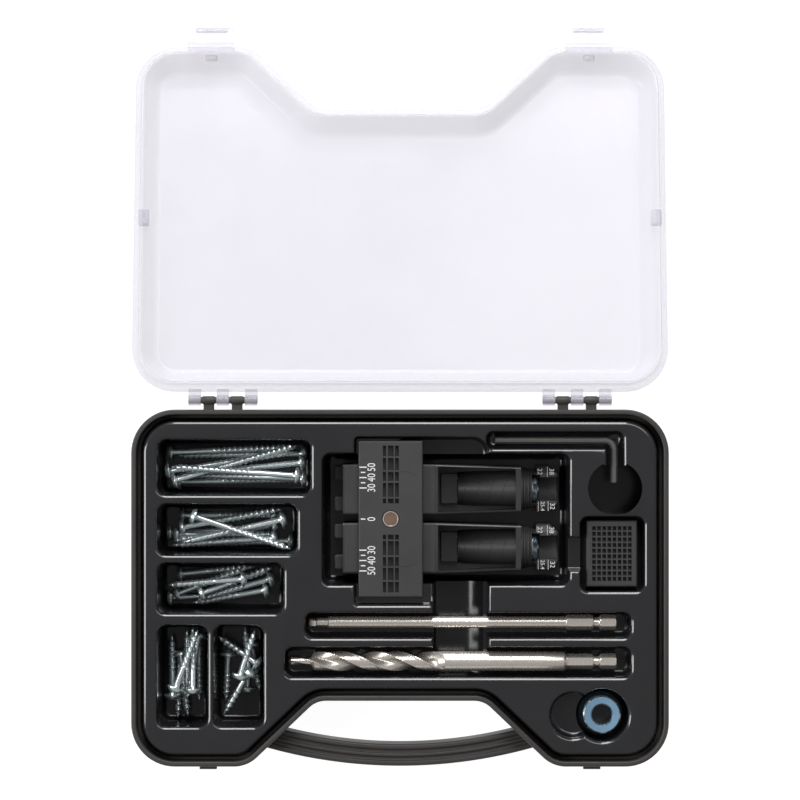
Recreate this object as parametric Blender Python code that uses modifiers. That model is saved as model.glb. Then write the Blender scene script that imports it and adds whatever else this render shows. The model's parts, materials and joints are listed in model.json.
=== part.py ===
"""Pocket-hole jointing kit: a twin drill guide, its bits, collar, key, clamp pad and screws in a hinged carry case.

Frame: +Z up, origin at the centre of the case's underside, +X to the right, +Y towards the hinge. Metres.
The case lies open, with the front edge of its lid resting on the same surface as the base.
"""

import math

import bmesh
import bpy
from mathutils import Matrix, Vector
from mathutils.bvhtree import BVHTree

MM = 0.001
ARC_STEPS = 5
CLEARANCE = 0.3 * MM

# Case outline, shared by the base, the lid and the tray
CASE_WIDTH = 259 * MM
CASE_DEPTH = 172 * MM
CORNER_RADIUS = 21 * MM
RECESS_TOP_WIDTH = 80.6 * MM
RECESS_MOUTH_WIDTH = 147.2 * MM
RECESS_DEPTH = 31.7 * MM
RECESS_MOUTH_RADIUS = 16 * MM
RECESS_TOP_RADIUS = 11.5 * MM

# Base shell
BASE_HEIGHT = 42 * MM
FLOOR_THICKNESS = 2.2 * MM
RIM_WIDTH = 2.4 * MM
RIM_HEIGHT = 7 * MM
RIM_OVERHANG = 4.2 * MM
SHELF_DROP = 6 * MM
SHELL_THICKNESS = 2.4 * MM
SIDE_DRAFT = 1.4 * MM
FOOT_CHAMFER = 1.6 * MM
CATCH_WIDTH = 8.4 * MM
CATCH_REACH = 1.5 * MM
CATCH_HEIGHT = 1.8 * MM
CATCH_DROP = 2.6 * MM

# Hinge: a moulded rod on two stems each side, clasped by three lid knuckles
HINGE_OFFSET = 4.5 * MM
HINGE_SPREAD = 170.5 * MM
ROD_RADIUS = 1.6 * MM
KNUCKLE_RADIUS = 2.6 * MM
KNUCKLE_WIDTH = 6.1 * MM
KNUCKLE_PITCH = 6.8 * MM
STEM_WIDTH = 5.2 * MM

# Lid
LID_DEPTH = 12 * MM
LID_WALL = 1.6 * MM
FLANGE_THICKNESS = 2.4 * MM
TONGUE_INSET = 3.2 * MM
TONGUE_THICKNESS = 1.3 * MM
TONGUE_DEPTH = 3 * MM
LID_SLOPE = 12 * MM
LATCH_SPREAD = 185 * MM
LATCH_WIDTH = 23.2 * MM
LATCH_LENGTH = 8 * MM
LATCH_THICKNESS = 1.2 * MM
LATCH_OFFSET = 1.9 * MM
LATCH_LIP = 1.1 * MM
LATCH_CORNER = 2.2 * MM
LATCH_FOLD = 90

# Carry handle: an arched bar let into the sloping walls of the front recess
HANDLE_RADIUS = 229 * MM
HANDLE_WIDTH = 10.6 * MM
HANDLE_HEIGHT = 16 * MM
HANDLE_BOTTOM = BASE_HEIGHT - 27 * MM
HANDLE_PROUD = 0.8 * MM
HANDLE_GROOVE = 1.2 * MM
TENON_WIDTH = 6 * MM
TENON_HEIGHT = 8 * MM
TENON_REACH = 1.5 * MM

# Insert tray
TRAY_INSET = 5.4 * MM
TRAY_DROP = 1 * MM
TRAY_THICKNESS = 0.8 * MM
POCKET_DRAFT = 1 * MM
POCKET_RADIUS = 4.5 * MM
SCREW_POCKET_DEPTH = 32 * MM

# Twin drill guide
GUIDE_CENTRE_X = -4.5 * MM
GUIDE_BACK_MARGIN = 9.6 * MM
PLATE_WIDTH = 31.2 * MM
PLATE_LENGTH = 75.6 * MM
PLATE_THICKNESS = 4.6 * MM
PLATE_CORNER = 1.2 * MM
RAIL_WIDTH = 8 * MM
RAIL_DEPTH = 3 * MM
RAIL_END = 7 * MM
# The plate's blind slots: rows as (distance from the magnet, length), columns as (distance to the right, width).
SLOT_ROWS = ((8.7 * MM, 2.3 * MM), (14.05 * MM, 6.8 * MM), (20.5 * MM, 4.3 * MM), (26.5 * MM, 5.9 * MM),
             (32.85 * MM, 5.1 * MM))
SLOT_COLUMNS = ((-3 * MM, 1.5 * MM), (0.05 * MM, 2.7 * MM), (3 * MM, 1.8 * MM))
SLOT_DEPTH = 3.2 * MM
MAGNET_RADIUS = 3.8 * MM
MAGNET_THICKNESS = 3 * MM
BODY_LENGTH = 104.6 * MM
BODY_WIDTH = 24.4 * MM
BODY_HEIGHT = 25 * MM
BODY_LEFT = -27.6 * MM
BODY_SPACING = BODY_WIDTH + 4 * MM
BODY_TRAVEL = 4 * MM
BODY_CORNER = 1 * MM
WINDOW_START = 46 * MM
WINDOW_END = 86.2 * MM
WINDOW_FLOOR = 8 * MM
WINDOW_WALL = 1.5 * MM
WINDOW_BAR = 2.5 * MM
NECK_LENGTH = 8.2 * MM
NECK_RADIUS = 12 * MM
NECK_END_RADIUS = 9.6 * MM
NECK_HEIGHT = 12 * MM
NOSE_LENGTH = 11 * MM
TUBE_LENGTH = 52 * MM
TUBE_INSET = 1 * MM
BORE_LENGTH = 100 * MM
NOSE_HEIGHT = 16.5 * MM
NOSE_WIDTH = 22.8 * MM
NOSE_CHAMFER = 4 * MM
DRILL_ANGLE = 15
AXIS_HEIGHT_AT_MOUTH = 13.5 * MM
TUBE_RADIUS = 8 * MM
BUSH_RADIUS = 6.4 * MM
BUSH_BORE = 4.85 * MM
BUSH_LENGTH = 26 * MM
TROUGH_RADIUS = 5.7 * MM
STOP_PRONG_WIDTH = 6.9 * MM
STOP_PRONG_HEIGHT = 7 * MM
STOP_REACH = 4.4 * MM
STOP_TRAVEL = 4 * MM
STOP_LENGTH = 16 * MM
STOP_BAR = 5 * MM
STOP_WALL = 1.2 * MM
GUIDE_POCKET_DEPTH = 31.8 * MM
GUIDE_MARGIN = 5.3 * MM

# Where the loose tools lie, from the tray's edges, and the hollows that they lie in
SCREW_SIDE_MARGIN = 7 * MM
SCREW_BACK_MARGIN = 9 * MM
COLUMN_GAP = 2.8 * MM
PLATE_MARGIN = 1.8 * MM
STOP_MARGIN = 5.4 * MM
NOSE_MARGIN = 4.6 * MM
FINGER_MARGIN = 4.8 * MM
FINGER_LEFT = 15.9 * MM
FINGER_RIGHT = 42.6 * MM
FINGER_DEPTH = 12 * MM
FINGER_STEP = 0.1 * MM
CHANNEL_DEPTH = 20 * MM
CHANNEL_MARGIN = 7 * MM
BIT_END_MARGIN = 19.5 * MM
BIT_TIP_MARGIN = 1.6 * MM
BIT_HEEL_MARGIN = 6.8 * MM
BIT_POCKET_DEPTH = 14 * MM
BIT_SPACING = 17.8 * MM
DRIVER_BACK_MARGIN = 98.6 * MM
DRIVER_POCKET_HALF = 6.1 * MM
DRIVER_OFF_CENTRE = 1 * MM
DRILL_POCKET_HALF = 7.3 * MM
PAD_SIDE_MARGIN = 21.8 * MM
PAD_DROP = 16.8 * MM
PAD_MARGIN = 3.2 * MM
PAD_END_MARGIN = 2.1 * MM
PAD_POCKET_DEPTH = 12 * MM
LINK_DEPTH = 9 * MM
LINK_HALF = 8 * MM
KEY_BACK_MARGIN = 9.5 * MM
KEY_SIDE_MARGIN = 20.6 * MM
KEY_MARGIN = 4.1 * MM
KEY_DEPTH = 8 * MM
KEY_END_DEPTH = 12 * MM
KEY_END_RADIUS = 11.4 * MM
KEY_END_DROP = 2.5 * MM
COLLAR_SIDE_MARGIN = 26.6 * MM
COLLAR_FRONT_MARGIN = 24.7 * MM
COLLAR_POCKET_RADIUS = 12.7 * MM
COLLAR_POCKET_DEPTH = 16 * MM
THUMB_RADIUS = 11.1 * MM
THUMB_SPACING = 14.1 * MM
THUMB_DEPTH = 9 * MM
ROUND_DRAFT = 1 * MM
POCKET_FORM_RADIUS = 4 * MM
FINGER_FORM_RADIUS = 8 * MM
KEY_FORM_RADIUS = 3.4 * MM
PLATE_FORM_RADIUS = 2 * MM

# Loose tools
DRILL_RADIUS = 4.75 * MM
DRILL_LENGTH = 158.6 * MM
DRILL_PILOT_RADIUS = 2 * MM
DRILL_PILOT_LENGTH = 11 * MM
DRILL_FLUTE_LENGTH = 74.6 * MM
FLUTE_SHARE = 0.42
FLUTE_TURNS = 1.6
FLUTE_STEPS = 28
DRIVER_RADIUS = 2.8 * MM
DRIVER_LENGTH = 148.8 * MM
DRIVER_TIP_LENGTH = 3.6 * MM
DRIVER_TIP_FLATS = 2.9 * MM
DRIVER_NECK_RADIUS = 2.1 * MM
DRIVER_NECK_LENGTH = 9.2 * MM
HEX_SHANK_FLATS = 6.35 * MM
HEX_SHANK_LENGTH = 24 * MM
HEX_GROOVE_LENGTH = 2.4 * MM
HEX_GROOVE_RADIUS = 2.5 * MM
HEX_GROOVE_FROM_END = 10.6 * MM
HEX_CHAMFER = 0.6 * MM
KEY_FLATS = 3 * MM
KEY_LONG_ARM = 57.7 * MM
KEY_SHORT_ARM = 20.6 * MM
KEY_BEND_RADIUS = 4.2 * MM
KEY_BEND_STEPS = 5
COLLAR_RADIUS = 9 * MM
COLLAR_BORE = 4.9 * MM
COLLAR_HEIGHT = 12 * MM
COLLAR_CHAMFER = 0.5 * MM
SET_SCREW_RADIUS = 2.4 * MM
SOCKET_RADIUS = 1.43 * MM
PAD_WIDTH = 24.4 * MM
PAD_LENGTH = 31.8 * MM
PAD_THICKNESS = 8 * MM
PAD_BORDER = 2.3 * MM
PAD_HOLE_DEPTH = 3 * MM
PAD_COLUMNS = 8
PAD_ROWS = 10
PAD_RIB = 0.7 * MM

# Pan-head screws. Their lengths, in mm, name the compartments. The three rows are (length, width, depth, gap in front),
# and the two columns are (length, width, depth).
SCREW_SIDES = 8
SCREW_HEAD_RADIUS = 4.1 * MM
SCREW_HEAD_HEIGHT = 2.2 * MM
SCREW_THREAD_RADIUS = 1.95 * MM
SCREW_TIP_LENGTH = 5 * MM
SCREW_WALL_GAP = 0.9 * MM
SCREW_DROP_STEP = 0.2 * MM
SCREW_ROWS = (
    (63, 74.2 * MM, 26.8 * MM, 4.3 * MM),
    (51, 67.6 * MM, 24.6 * MM, 3.9 * MM),
    (38, 61.1 * MM, 24.4 * MM, 5.5 * MM),
)
SCREW_COLUMNS = ((32, 24.4 * MM, 49.1 * MM), (25, 24.1 * MM, 49.1 * MM))
# How each screw lies: its middle as a share of the free room to the right and to the back, and its heading in degrees.
SCREWS_LYING = (
    ((0.5, -1, 1), (0.8, 0.8, 181), (0.8, -0.8, 178), (-0.6, 0.9, 2), (0.7, 0, 186),
     (-0.9, 0.2, 9), (-0.2, 0, 16), (0.1, -0.5, 176)),
    ((-0.9, -0.4, 3), (0.9, -1, 182), (0.1, 0.9, 0), (-0.3, -0.5, 0), (-0.3, -0.9, 184), (-0.2, -0.1, 190),
     (0.1, 0.9, 10), (0.5, 0.2, 193), (0.8, 0, -19)),
    ((-0.9, -0.9, 2), (-0.4, 1, 5), (0.4, -0.8, 190), (0.7, 0.1, 196), (-0.6, 0.4, 20),
     (0.6, 0.6, 20), (-0.7, 0.6, 185)),
    ((-0.6, -1, 88), (1, 0.3, 90), (-1, 0.4, -90), (0.1, -0.8, 97), (0.2, 0.8, -90),
     (0.6, 0.6, 80), (0.7, 1, 90), (0, 0.9, 69)),
    ((0.5, 0.2, 90), (-1, -0.2, -93), (1, 0.3, -80), (0.4, 1, -85),
     (0, 0.7, 145), (0, -0.7, 239), (0.5, 0.9, 72)),
)

RIM_TOP = BASE_HEIGHT
TRAY_TOP = RIM_TOP - TRAY_DROP
HINGE_Y = CASE_DEPTH / 2 + HINGE_OFFSET
HINGE_Z = RIM_TOP
TRAY_LEFT = -CASE_WIDTH / 2 + TRAY_INSET
TRAY_RIGHT = CASE_WIDTH / 2 - TRAY_INSET
TRAY_BACK = CASE_DEPTH / 2 - TRAY_INSET

COLOURS = {
    "case_black": ((0.022, 0.021, 0.021), 0.5, 0.0),
    "tray_black": ((0.02, 0.02, 0.022), 0.25, 0.0),
    "lid_clear": ((0.9, 0.9, 0.92), 0.35, 0.0),
    "guide_grey": ((0.07, 0.07, 0.07), 0.55, 0.0),
    "guide_black": ((0.025, 0.025, 0.026), 0.5, 0.0),
    "steel": ((0.6, 0.58, 0.55), 0.25, 1.0),
    "magnet": ((0.35, 0.26, 0.2), 0.35, 1.0),
    "blue_steel": ((0.2, 0.38, 0.6), 0.3, 1.0),
    "key_black": ((0.05, 0.045, 0.04), 0.45, 0.6),
    "rubber": ((0.05, 0.05, 0.05), 0.8, 0.0),
    "zinc": ((0.62, 0.68, 0.7), 0.25, 1.0),
}


def clear_scene():
    for existing in list(bpy.data.objects):
        bpy.data.objects.remove(existing, do_unlink=True)


def collection(name):
    made = bpy.data.collections.new(name)
    bpy.context.scene.collection.children.link(made)
    return made


def material(name):
    if name in bpy.data.materials:
        return bpy.data.materials[name]
    colour, roughness, metallic = COLOURS[name]
    made = bpy.data.materials.new(name)
    made.use_nodes = True
    shader = made.node_tree.nodes["Principled BSDF"]
    shader.inputs["Base Color"].default_value = (*colour, 1)
    shader.inputs["Roughness"].default_value = roughness
    shader.inputs["Metallic"].default_value = metallic
    return made


def add_object(name, mesh, finish=None):
    """A part of the kit when it has a finish, and a hidden cutter or joining piece when it has none."""
    made = bpy.data.objects.new(name, mesh)
    if finish:
        KIT.objects.link(made)
        mesh.materials.append(material(finish))
    else:
        TOOLS.objects.link(made)
        made.hide_render = True
        made.display_type = "WIRE"
    return made


def neighbours(items):
    return zip(items[-1:] + items[:-1], items, items[1:] + items[:1])


def inset(corners, distance):
    """A counter-clockwise outline of (x, y, radius) corners moved inwards, each radius changing to stay concentric."""
    moved = []
    for before, here, after in neighbours(corners):
        arriving = (Vector(here[:2]) - Vector(before[:2])).normalized()
        leaving = (Vector(after[:2]) - Vector(here[:2])).normalized()
        normal_in = Vector((-arriving.y, arriving.x))
        normal_out = Vector((-leaving.y, leaving.x))
        shift = (normal_in + normal_out) * (distance / (1 + normal_in.dot(normal_out)))
        turns_left = arriving.x * leaving.y - arriving.y * leaving.x > 0
        radius = here[2] - distance if turns_left else here[2] + distance
        moved.append((here[0] + shift.x, here[1] + shift.y, max(radius, 0.3 * MM)))
    return moved


def rounded(corners, steps=ARC_STEPS):
    """The points of an outline of (x, y, radius) corners, with an arc at each corner."""
    points = []
    for before, here, after in neighbours(corners):
        corner = Vector(here[:2])
        back = (Vector(before[:2]) - corner).normalized()
        ahead = (Vector(after[:2]) - corner).normalized()
        half = back.angle(ahead) / 2
        centre = corner + (back + ahead).normalized() * (here[2] / math.sin(half))
        reach = here[2] / math.tan(half)
        start = corner + back * reach - centre
        end = corner + ahead * reach - centre
        first = math.atan2(start.y, start.x)
        turn = (math.atan2(end.y, end.x) - first + math.pi) % math.tau - math.pi
        for step in range(steps + 1):
            angle = first + turn * step / steps
            points.append((centre.x + here[2] * math.cos(angle), centre.y + here[2] * math.sin(angle)))
    return points


def rectangle(left, right, front, back, radius):
    return [(left, front, radius), (right, front, radius), (right, back, radius), (left, back, radius)]


def loft(name, rings, finish=None):
    """A closed solid through flat outlines of equal count, each (outline points, z), with both ends capped."""
    return skin(name, [[(x, y, z) for x, y in points] for points, z in rings], finish)


def skin(name, rings, finish=None):
    """A closed solid through rings of points in space, all of equal count, with both ends capped."""
    shape = bmesh.new()
    loops = [[shape.verts.new(point) for point in ring] for ring in rings]
    for lower, upper in zip(loops, loops[1:]):
        for here in range(len(lower)):
            after = (here + 1) % len(lower)
            shape.faces.new((lower[here], lower[after], upper[after], upper[here]))
    shape.faces.new(loops[0][::-1])
    shape.faces.new(loops[-1])
    mesh = bpy.data.meshes.new(name)
    shape.to_mesh(mesh)
    shape.free()
    return add_object(name, mesh, finish)


def prism(name, corners, bottom, top, finish=None, steps=ARC_STEPS):
    """An upright solid on a flat outline: a filled and extruded 2D curve made a mesh."""
    curve = bpy.data.curves.new(name + "_outline", "CURVE")
    curve.dimensions = "2D"
    curve.fill_mode = "BOTH"
    curve.extrude = (top - bottom) / 2
    spline = curve.splines.new("POLY")
    points = rounded(corners, steps)
    spline.points.add(len(points) - 1)
    for point, (x, y) in zip(spline.points, points):
        point.co = (x, y, 0, 1)
    spline.use_cyclic_u = True
    return solid_from_curve(name, curve, Matrix.Translation((0, 0, (top + bottom) / 2)), finish)


def solid_from_curve(name, curve, place, finish=None):
    """The curve's own solid as a mesh object, with its caps welded on and its place in its mesh."""
    holder = bpy.data.objects.new(name + "_curve", curve)
    bpy.context.scene.collection.objects.link(holder)
    bpy.context.view_layer.update()
    graph = bpy.context.evaluated_depsgraph_get()
    mesh = bpy.data.meshes.new_from_object(holder.evaluated_get(graph))
    bpy.data.objects.remove(holder)
    mesh.name = name
    shape = bmesh.new()
    shape.from_mesh(mesh)
    bmesh.ops.remove_doubles(shape, verts=shape.verts, dist=0.001 * MM)
    bmesh.ops.recalc_face_normals(shape, faces=shape.faces)
    bmesh.ops.transform(shape, matrix=place, verts=shape.verts)
    shape.to_mesh(mesh)
    shape.free()
    return add_object(name, mesh, finish)


def box(name, low, high, finish=None, place=None):
    """A cuboid between two corners, moved by an optional matrix."""
    shape = bmesh.new()
    size = Vector(high) - Vector(low)
    middle = (Vector(high) + Vector(low)) / 2
    bmesh.ops.create_cube(shape, size=1, matrix=Matrix.Translation(middle) @ Matrix.Diagonal((*size, 1)))
    if place:
        bmesh.ops.transform(shape, matrix=place, verts=shape.verts)
    mesh = bpy.data.meshes.new(name)
    shape.to_mesh(mesh)
    shape.free()
    return add_object(name, mesh, finish)


def cylinder(name, start, direction, length, radius, finish=None, sides=24, end_radius=None):
    """A cylinder or cone along a direction, from its start point."""
    shape = bmesh.new()
    turn = Vector(direction).to_track_quat("Z", "Y").to_matrix().to_4x4()
    place = Matrix.Translation(start) @ turn @ Matrix.Translation((0, 0, length / 2))
    far = radius if end_radius is None else end_radius
    bmesh.ops.create_cone(shape, cap_ends=True, segments=sides, radius1=radius, radius2=far, depth=length, matrix=place)
    mesh = bpy.data.meshes.new(name)
    shape.to_mesh(mesh)
    shape.free()
    return add_object(name, mesh, finish)


def turned(name, profile, sides, place, finish=None):
    """A solid turned from (radius, height) profile points that run down its outer side, top to bottom."""
    mesh = bpy.data.meshes.new(name)
    edges = [(k, k + 1) for k in range(len(profile) - 1)]
    mesh.from_pydata([(radius, 0, height) for radius, height in profile], edges, [])
    made = add_object(name, mesh, finish)
    screw = made.modifiers.new("turn", "SCREW")
    screw.axis = "Z"
    screw.steps = screw.render_steps = sides
    screw.use_merge_vertices = True
    screw.merge_threshold = 0.001 * MM
    made.matrix_world = place
    return made


def combine(target, others, operation):
    for other in others:
        modifier = target.modifiers.new(other.name, "BOOLEAN")
        modifier.operation = operation
        modifier.object = other
    return target


def join(target, *others):
    return combine(target, others, "UNION")


def cut(target, *others):
    return combine(target, others, "DIFFERENCE")


def joint_empty(name, place, turn=(0, 0, 0), parent=None):
    made = bpy.data.objects.new(name, None)
    KIT.objects.link(made)
    made.parent = parent
    made.location = place
    made.rotation_euler = turn
    return made


def hang(child, empty, at):
    """Puts a piece that was modelled in the closed case's frame, and its cutters, under the empty at this point."""
    helpers = [modifier.object for modifier in child.modifiers if modifier.type == "BOOLEAN"]
    for piece in (child, *helpers):
        piece.parent = empty
        piece.matrix_parent_inverse = Matrix.Translation(-Vector(at))


def case_outline(distance=0.0):
    """The case seen from above: a rounded rectangle with a sloping-sided recess for the handle at its front."""
    half_width = CASE_WIDTH / 2
    half_depth = CASE_DEPTH / 2
    recess = -half_depth + RECESS_DEPTH
    corners = [
        (half_width, -half_depth, CORNER_RADIUS),
        (half_width, half_depth, CORNER_RADIUS),
        (-half_width, half_depth, CORNER_RADIUS),
        (-half_width, -half_depth, CORNER_RADIUS),
        (-RECESS_MOUTH_WIDTH / 2, -half_depth, RECESS_MOUTH_RADIUS),
        (-RECESS_TOP_WIDTH / 2, recess, RECESS_TOP_RADIUS),
        (RECESS_TOP_WIDTH / 2, recess, RECESS_TOP_RADIUS),
        (RECESS_MOUTH_WIDTH / 2, -half_depth, RECESS_MOUTH_RADIUS),
    ]
    return inset(corners, distance)


def case_rings(steps):
    return [(rounded(case_outline(distance)), height) for distance, height in steps]


def build_base():
    """The moulded tub, with an overhanging rim, a shelf for the tray, hinge rods and two front catches."""
    rim_bottom = RIM_TOP - RIM_HEIGHT
    shelf = RIM_TOP - SHELF_DROP
    side = RIM_OVERHANG
    inner = side + SHELL_THICKNESS
    base = loft("case_base", case_rings([
        (side + SIDE_DRAFT + FOOT_CHAMFER, 0),
        (side + SIDE_DRAFT, FOOT_CHAMFER),
        (side, rim_bottom - RIM_OVERHANG / 2),
        (0, rim_bottom),
        (0, RIM_TOP),
        (RIM_WIDTH, RIM_TOP),
        (RIM_WIDTH, shelf),
        (inner, shelf),
        (inner + SIDE_DRAFT, FLOOR_THICKNESS),
    ]), "case_black")
    additions = []
    for side_name, side_sign in (("left", -1), ("right", 1)):
        middle = side_sign * HINGE_SPREAD / 2
        rod_length = 5 * KNUCKLE_PITCH - (KNUCKLE_PITCH - KNUCKLE_WIDTH)
        start = (middle - rod_length / 2, HINGE_Y, HINGE_Z)
        additions.append(cylinder("rod_" + side_name, start, (1, 0, 0), rod_length, ROD_RADIUS, sides=12))
        for number in (-1, 1):
            stem = middle + number * KNUCKLE_PITCH
            additions.append(box(
                f"stem_{side_name}_{number}",
                (stem - STEM_WIDTH / 2, CASE_DEPTH / 2 - RIM_WIDTH / 2, HINGE_Z - ROD_RADIUS),
                (stem + STEM_WIDTH / 2, HINGE_Y, HINGE_Z - 0.1 * MM),
            ))
        catch = side_sign * LATCH_SPREAD / 2
        top = RIM_TOP - CATCH_DROP
        additions.append(box(
            "catch_" + side_name,
            (catch - CATCH_WIDTH / 2, -CASE_DEPTH / 2 - CATCH_REACH, top - CATCH_HEIGHT),
            (catch + CATCH_WIDTH / 2, -CASE_DEPTH / 2 + RIM_WIDTH / 2, top),
        ))
    join(base, *additions)
    cut(base, *[tenon("socket", sign, CLEARANCE) for sign in (-1, 1)])
    return base


def slope_frame(sign):
    """A matrix where the handle's middle line meets the recess's slope: +X runs into the case, +Y along the slope."""
    top = Vector((RECESS_TOP_WIDTH / 2, -CASE_DEPTH / 2 + RECESS_DEPTH))
    mouth = Vector((RECESS_MOUTH_WIDTH / 2, -CASE_DEPTH / 2))
    along = (top - mouth).normalized()
    from_centre = mouth - Vector((0, handle_centre_y()))
    lean = from_centre.dot(along)
    radius = HANDLE_RADIUS + HANDLE_WIDTH / 2
    middle = mouth + along * (-lean - math.sqrt(lean**2 - from_centre.length_squared + radius**2))
    into = Vector((along.y, -along.x))
    turn = Matrix((
        (sign * into.x, sign * along.x, 0, sign * middle.x),
        (into.y, along.y, 0, middle.y),
        (0, 0, 1, HANDLE_BOTTOM + HANDLE_HEIGHT / 2),
        (0, 0, 0, 1),
    ))
    return turn


def tenon(name, sign, growth=0.0):
    """The handle's end peg, through the sloping wall of the base."""
    half_width = TENON_WIDTH / 2 + growth
    half_height = TENON_HEIGHT / 2 + growth
    reach = RIM_OVERHANG + SHELL_THICKNESS + TENON_REACH + growth
    side = "right" if sign > 0 else "left"
    made = box(f"{name}_{side}", (-1 * MM, -half_width, -half_height), (reach, half_width, half_height), None,
               slope_frame(sign))
    if sign < 0:
        made.data.flip_normals()
    return made


def handle_centre_y():
    """The centre that the handle's arcs share, far behind the case."""
    return HANDLE_RADIUS + HANDLE_WIDTH - CASE_DEPTH / 2 - HANDLE_PROUD


def handle_arc(radius, half_angle, steps=14):
    """Points along an arc that bows towards the front, left to right."""
    centre_y = handle_centre_y()
    angles = [half_angle * (2 * k / steps - 1) for k in range(steps + 1)]
    return [(radius * math.sin(a), centre_y - radius * math.cos(a)) for a in angles]


def build_handle():
    """An arched bar with a groove along its top, its ends cut parallel to the recess's slopes and pegged through them."""
    half_angle = math.asin(RECESS_MOUTH_WIDTH / 2 / HANDLE_RADIUS)
    outer = handle_arc(HANDLE_RADIUS + HANDLE_WIDTH, half_angle)
    inner = handle_arc(HANDLE_RADIUS, half_angle)
    top = HANDLE_BOTTOM + HANDLE_HEIGHT
    ring = outer + inner[::-1]
    bar = loft("carry_handle", [(ring, HANDLE_BOTTOM), (ring, top)], "case_black")
    past = 10 * MM
    flare = (RECESS_MOUTH_WIDTH - RECESS_TOP_WIDTH) / 2 / RECESS_DEPTH * past
    front = -CASE_DEPTH / 2 - past
    recess = [
        (-RECESS_MOUTH_WIDTH / 2 - flare, front, 1 * MM),
        (RECESS_MOUTH_WIDTH / 2 + flare, front, 1 * MM),
        (RECESS_TOP_WIDTH / 2, front + past + RECESS_DEPTH, 1 * MM),
        (-RECESS_TOP_WIDTH / 2, front + past + RECESS_DEPTH, 1 * MM),
    ]
    trimmed = rounded(inset(recess, CLEARANCE - RIM_OVERHANG), 2)
    combine(bar, [loft("handle_trim", [(trimmed, 0), (trimmed, RIM_TOP)])], "INTERSECT")
    for number, share in enumerate((0.27, 0.62)):
        radius = HANDLE_RADIUS + HANDLE_WIDTH * share
        groove = handle_arc(radius + HANDLE_GROOVE, half_angle) + handle_arc(radius, half_angle)[::-1]
        cut(bar, loft(f"handle_groove_{number}", [(groove, top - HANDLE_GROOVE), (groove, top + HANDLE_GROOVE)]))
    return join(bar, *[tenon("tenon", sign) for sign in (-1, 1)])


def lid_opening():
    """How far the lid swings from shut until its front edge meets the surface under the base."""
    reach = CASE_DEPTH - LID_SLOPE + HINGE_OFFSET
    rise = HINGE_Z - CLEARANCE
    distance = math.hypot(reach, LID_DEPTH)
    return math.pi + math.asin(rise / distance) - math.atan2(LID_DEPTH, reach)


def build_lid(hinge):
    """The translucent cover: flange, tongue, sloping walls and flat panel, with three clasping knuckles at each hinge."""
    flange = RIM_TOP + CLEARANCE
    tongue = RIM_TOP - TONGUE_DEPTH
    inner = TONGUE_INSET + TONGUE_THICKNESS
    top = RIM_TOP + LID_DEPTH
    shoulder = flange + FLANGE_THICKNESS
    lid = loft("case_lid", case_rings([
        (LID_SLOPE + LID_WALL / 2, top - LID_WALL),
        (LID_SLOPE * 0.62 + LID_WALL, top - LID_WALL - 1.4 * MM),
        (inner + 0.8 * MM, shoulder + 0.4 * MM),
        (inner, flange),
        (inner, tongue),
        (TONGUE_INSET, tongue),
        (TONGUE_INSET, flange),
        (0, flange),
        (0, shoulder),
        (inner - LID_WALL, shoulder + 0.6 * MM),
        (LID_SLOPE * 0.62, top - 1.4 * MM),
        (LID_SLOPE, top),
    ]), "lid_clear")
    additions, holes = [], []
    for side_name, side_sign in (("left", -1), ("right", 1)):
        middle = side_sign * HINGE_SPREAD / 2
        for number in (-2, 0, 2):
            start = middle + number * KNUCKLE_PITCH - KNUCKLE_WIDTH / 2
            label = f"{side_name}_{number}"
            additions.append(cylinder(
                "knuckle_" + label, (start, HINGE_Y, HINGE_Z), (1, 0, 0), KNUCKLE_WIDTH, KNUCKLE_RADIUS, sides=20,
            ))
            additions.append(box(
                "arm_" + label,
                (start, CASE_DEPTH / 2 - RIM_WIDTH / 2, flange),
                (start + KNUCKLE_WIDTH, HINGE_Y, HINGE_Z + KNUCKLE_RADIUS * 0.98),
            ))
            holes.append(cylinder(
                "rod_hole_" + label, (start - CLEARANCE, HINGE_Y, HINGE_Z), (1, 0, 0),
                KNUCKLE_WIDTH + 2 * CLEARANCE, ROD_RADIUS + 0.22 * MM, sides=12,
            ))
    ears = []
    for side_name, side_sign in (("left", -1), ("right", 1)):
        centre = side_sign * LATCH_SPREAD / 2
        front = -CASE_DEPTH / 2
        ears.append(box(
            "ear_" + side_name,
            (centre - LATCH_WIDTH / 2, front - LATCH_OFFSET + CLEARANCE, flange + CLEARANCE),
            (centre + LATCH_WIDTH / 2, front + RIM_WIDTH, flange + LATCH_THICKNESS + CLEARANCE),
        ))
    join(lid, *additions, *ears)
    cut(lid, *holes)
    hang(lid, hinge, (0, HINGE_Y, HINGE_Z))
    return lid


def build_latch(side_name, side_sign, hinge):
    """A flap on a flexing line at the lid's front edge, with a lip that hooks under the base's catch."""
    pivot = Vector((side_sign * LATCH_SPREAD / 2, -CASE_DEPTH / 2 - LATCH_OFFSET, RIM_TOP + 2 * CLEARANCE))
    empty = joint_empty("latch_pivot_" + side_name, pivot - Vector((0, HINGE_Y, HINGE_Z)), parent=hinge)
    half = LATCH_WIDTH / 2
    flap = prism("lid_latch_" + side_name, [
        (half, 0, 0.3 * MM),
        (-half, 0, 0.3 * MM),
        (-half + 1 * MM, -LATCH_LENGTH, LATCH_CORNER),
        (half - 1 * MM, -LATCH_LENGTH, LATCH_CORNER),
    ], 0, LATCH_THICKNESS, "lid_clear")
    lip_start = CATCH_DROP + CATCH_HEIGHT + 2 * CLEARANCE + CLEARANCE
    lip = box(
        "lip_" + side_name,
        (-half + 4 * MM, -LATCH_LENGTH + 0.2 * MM, -LATCH_LIP), (half - 4 * MM, -lip_start, LATCH_THICKNESS / 2),
    )
    join(flap, lip)
    lip.parent = empty
    flap.parent = empty
    return flap


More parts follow.
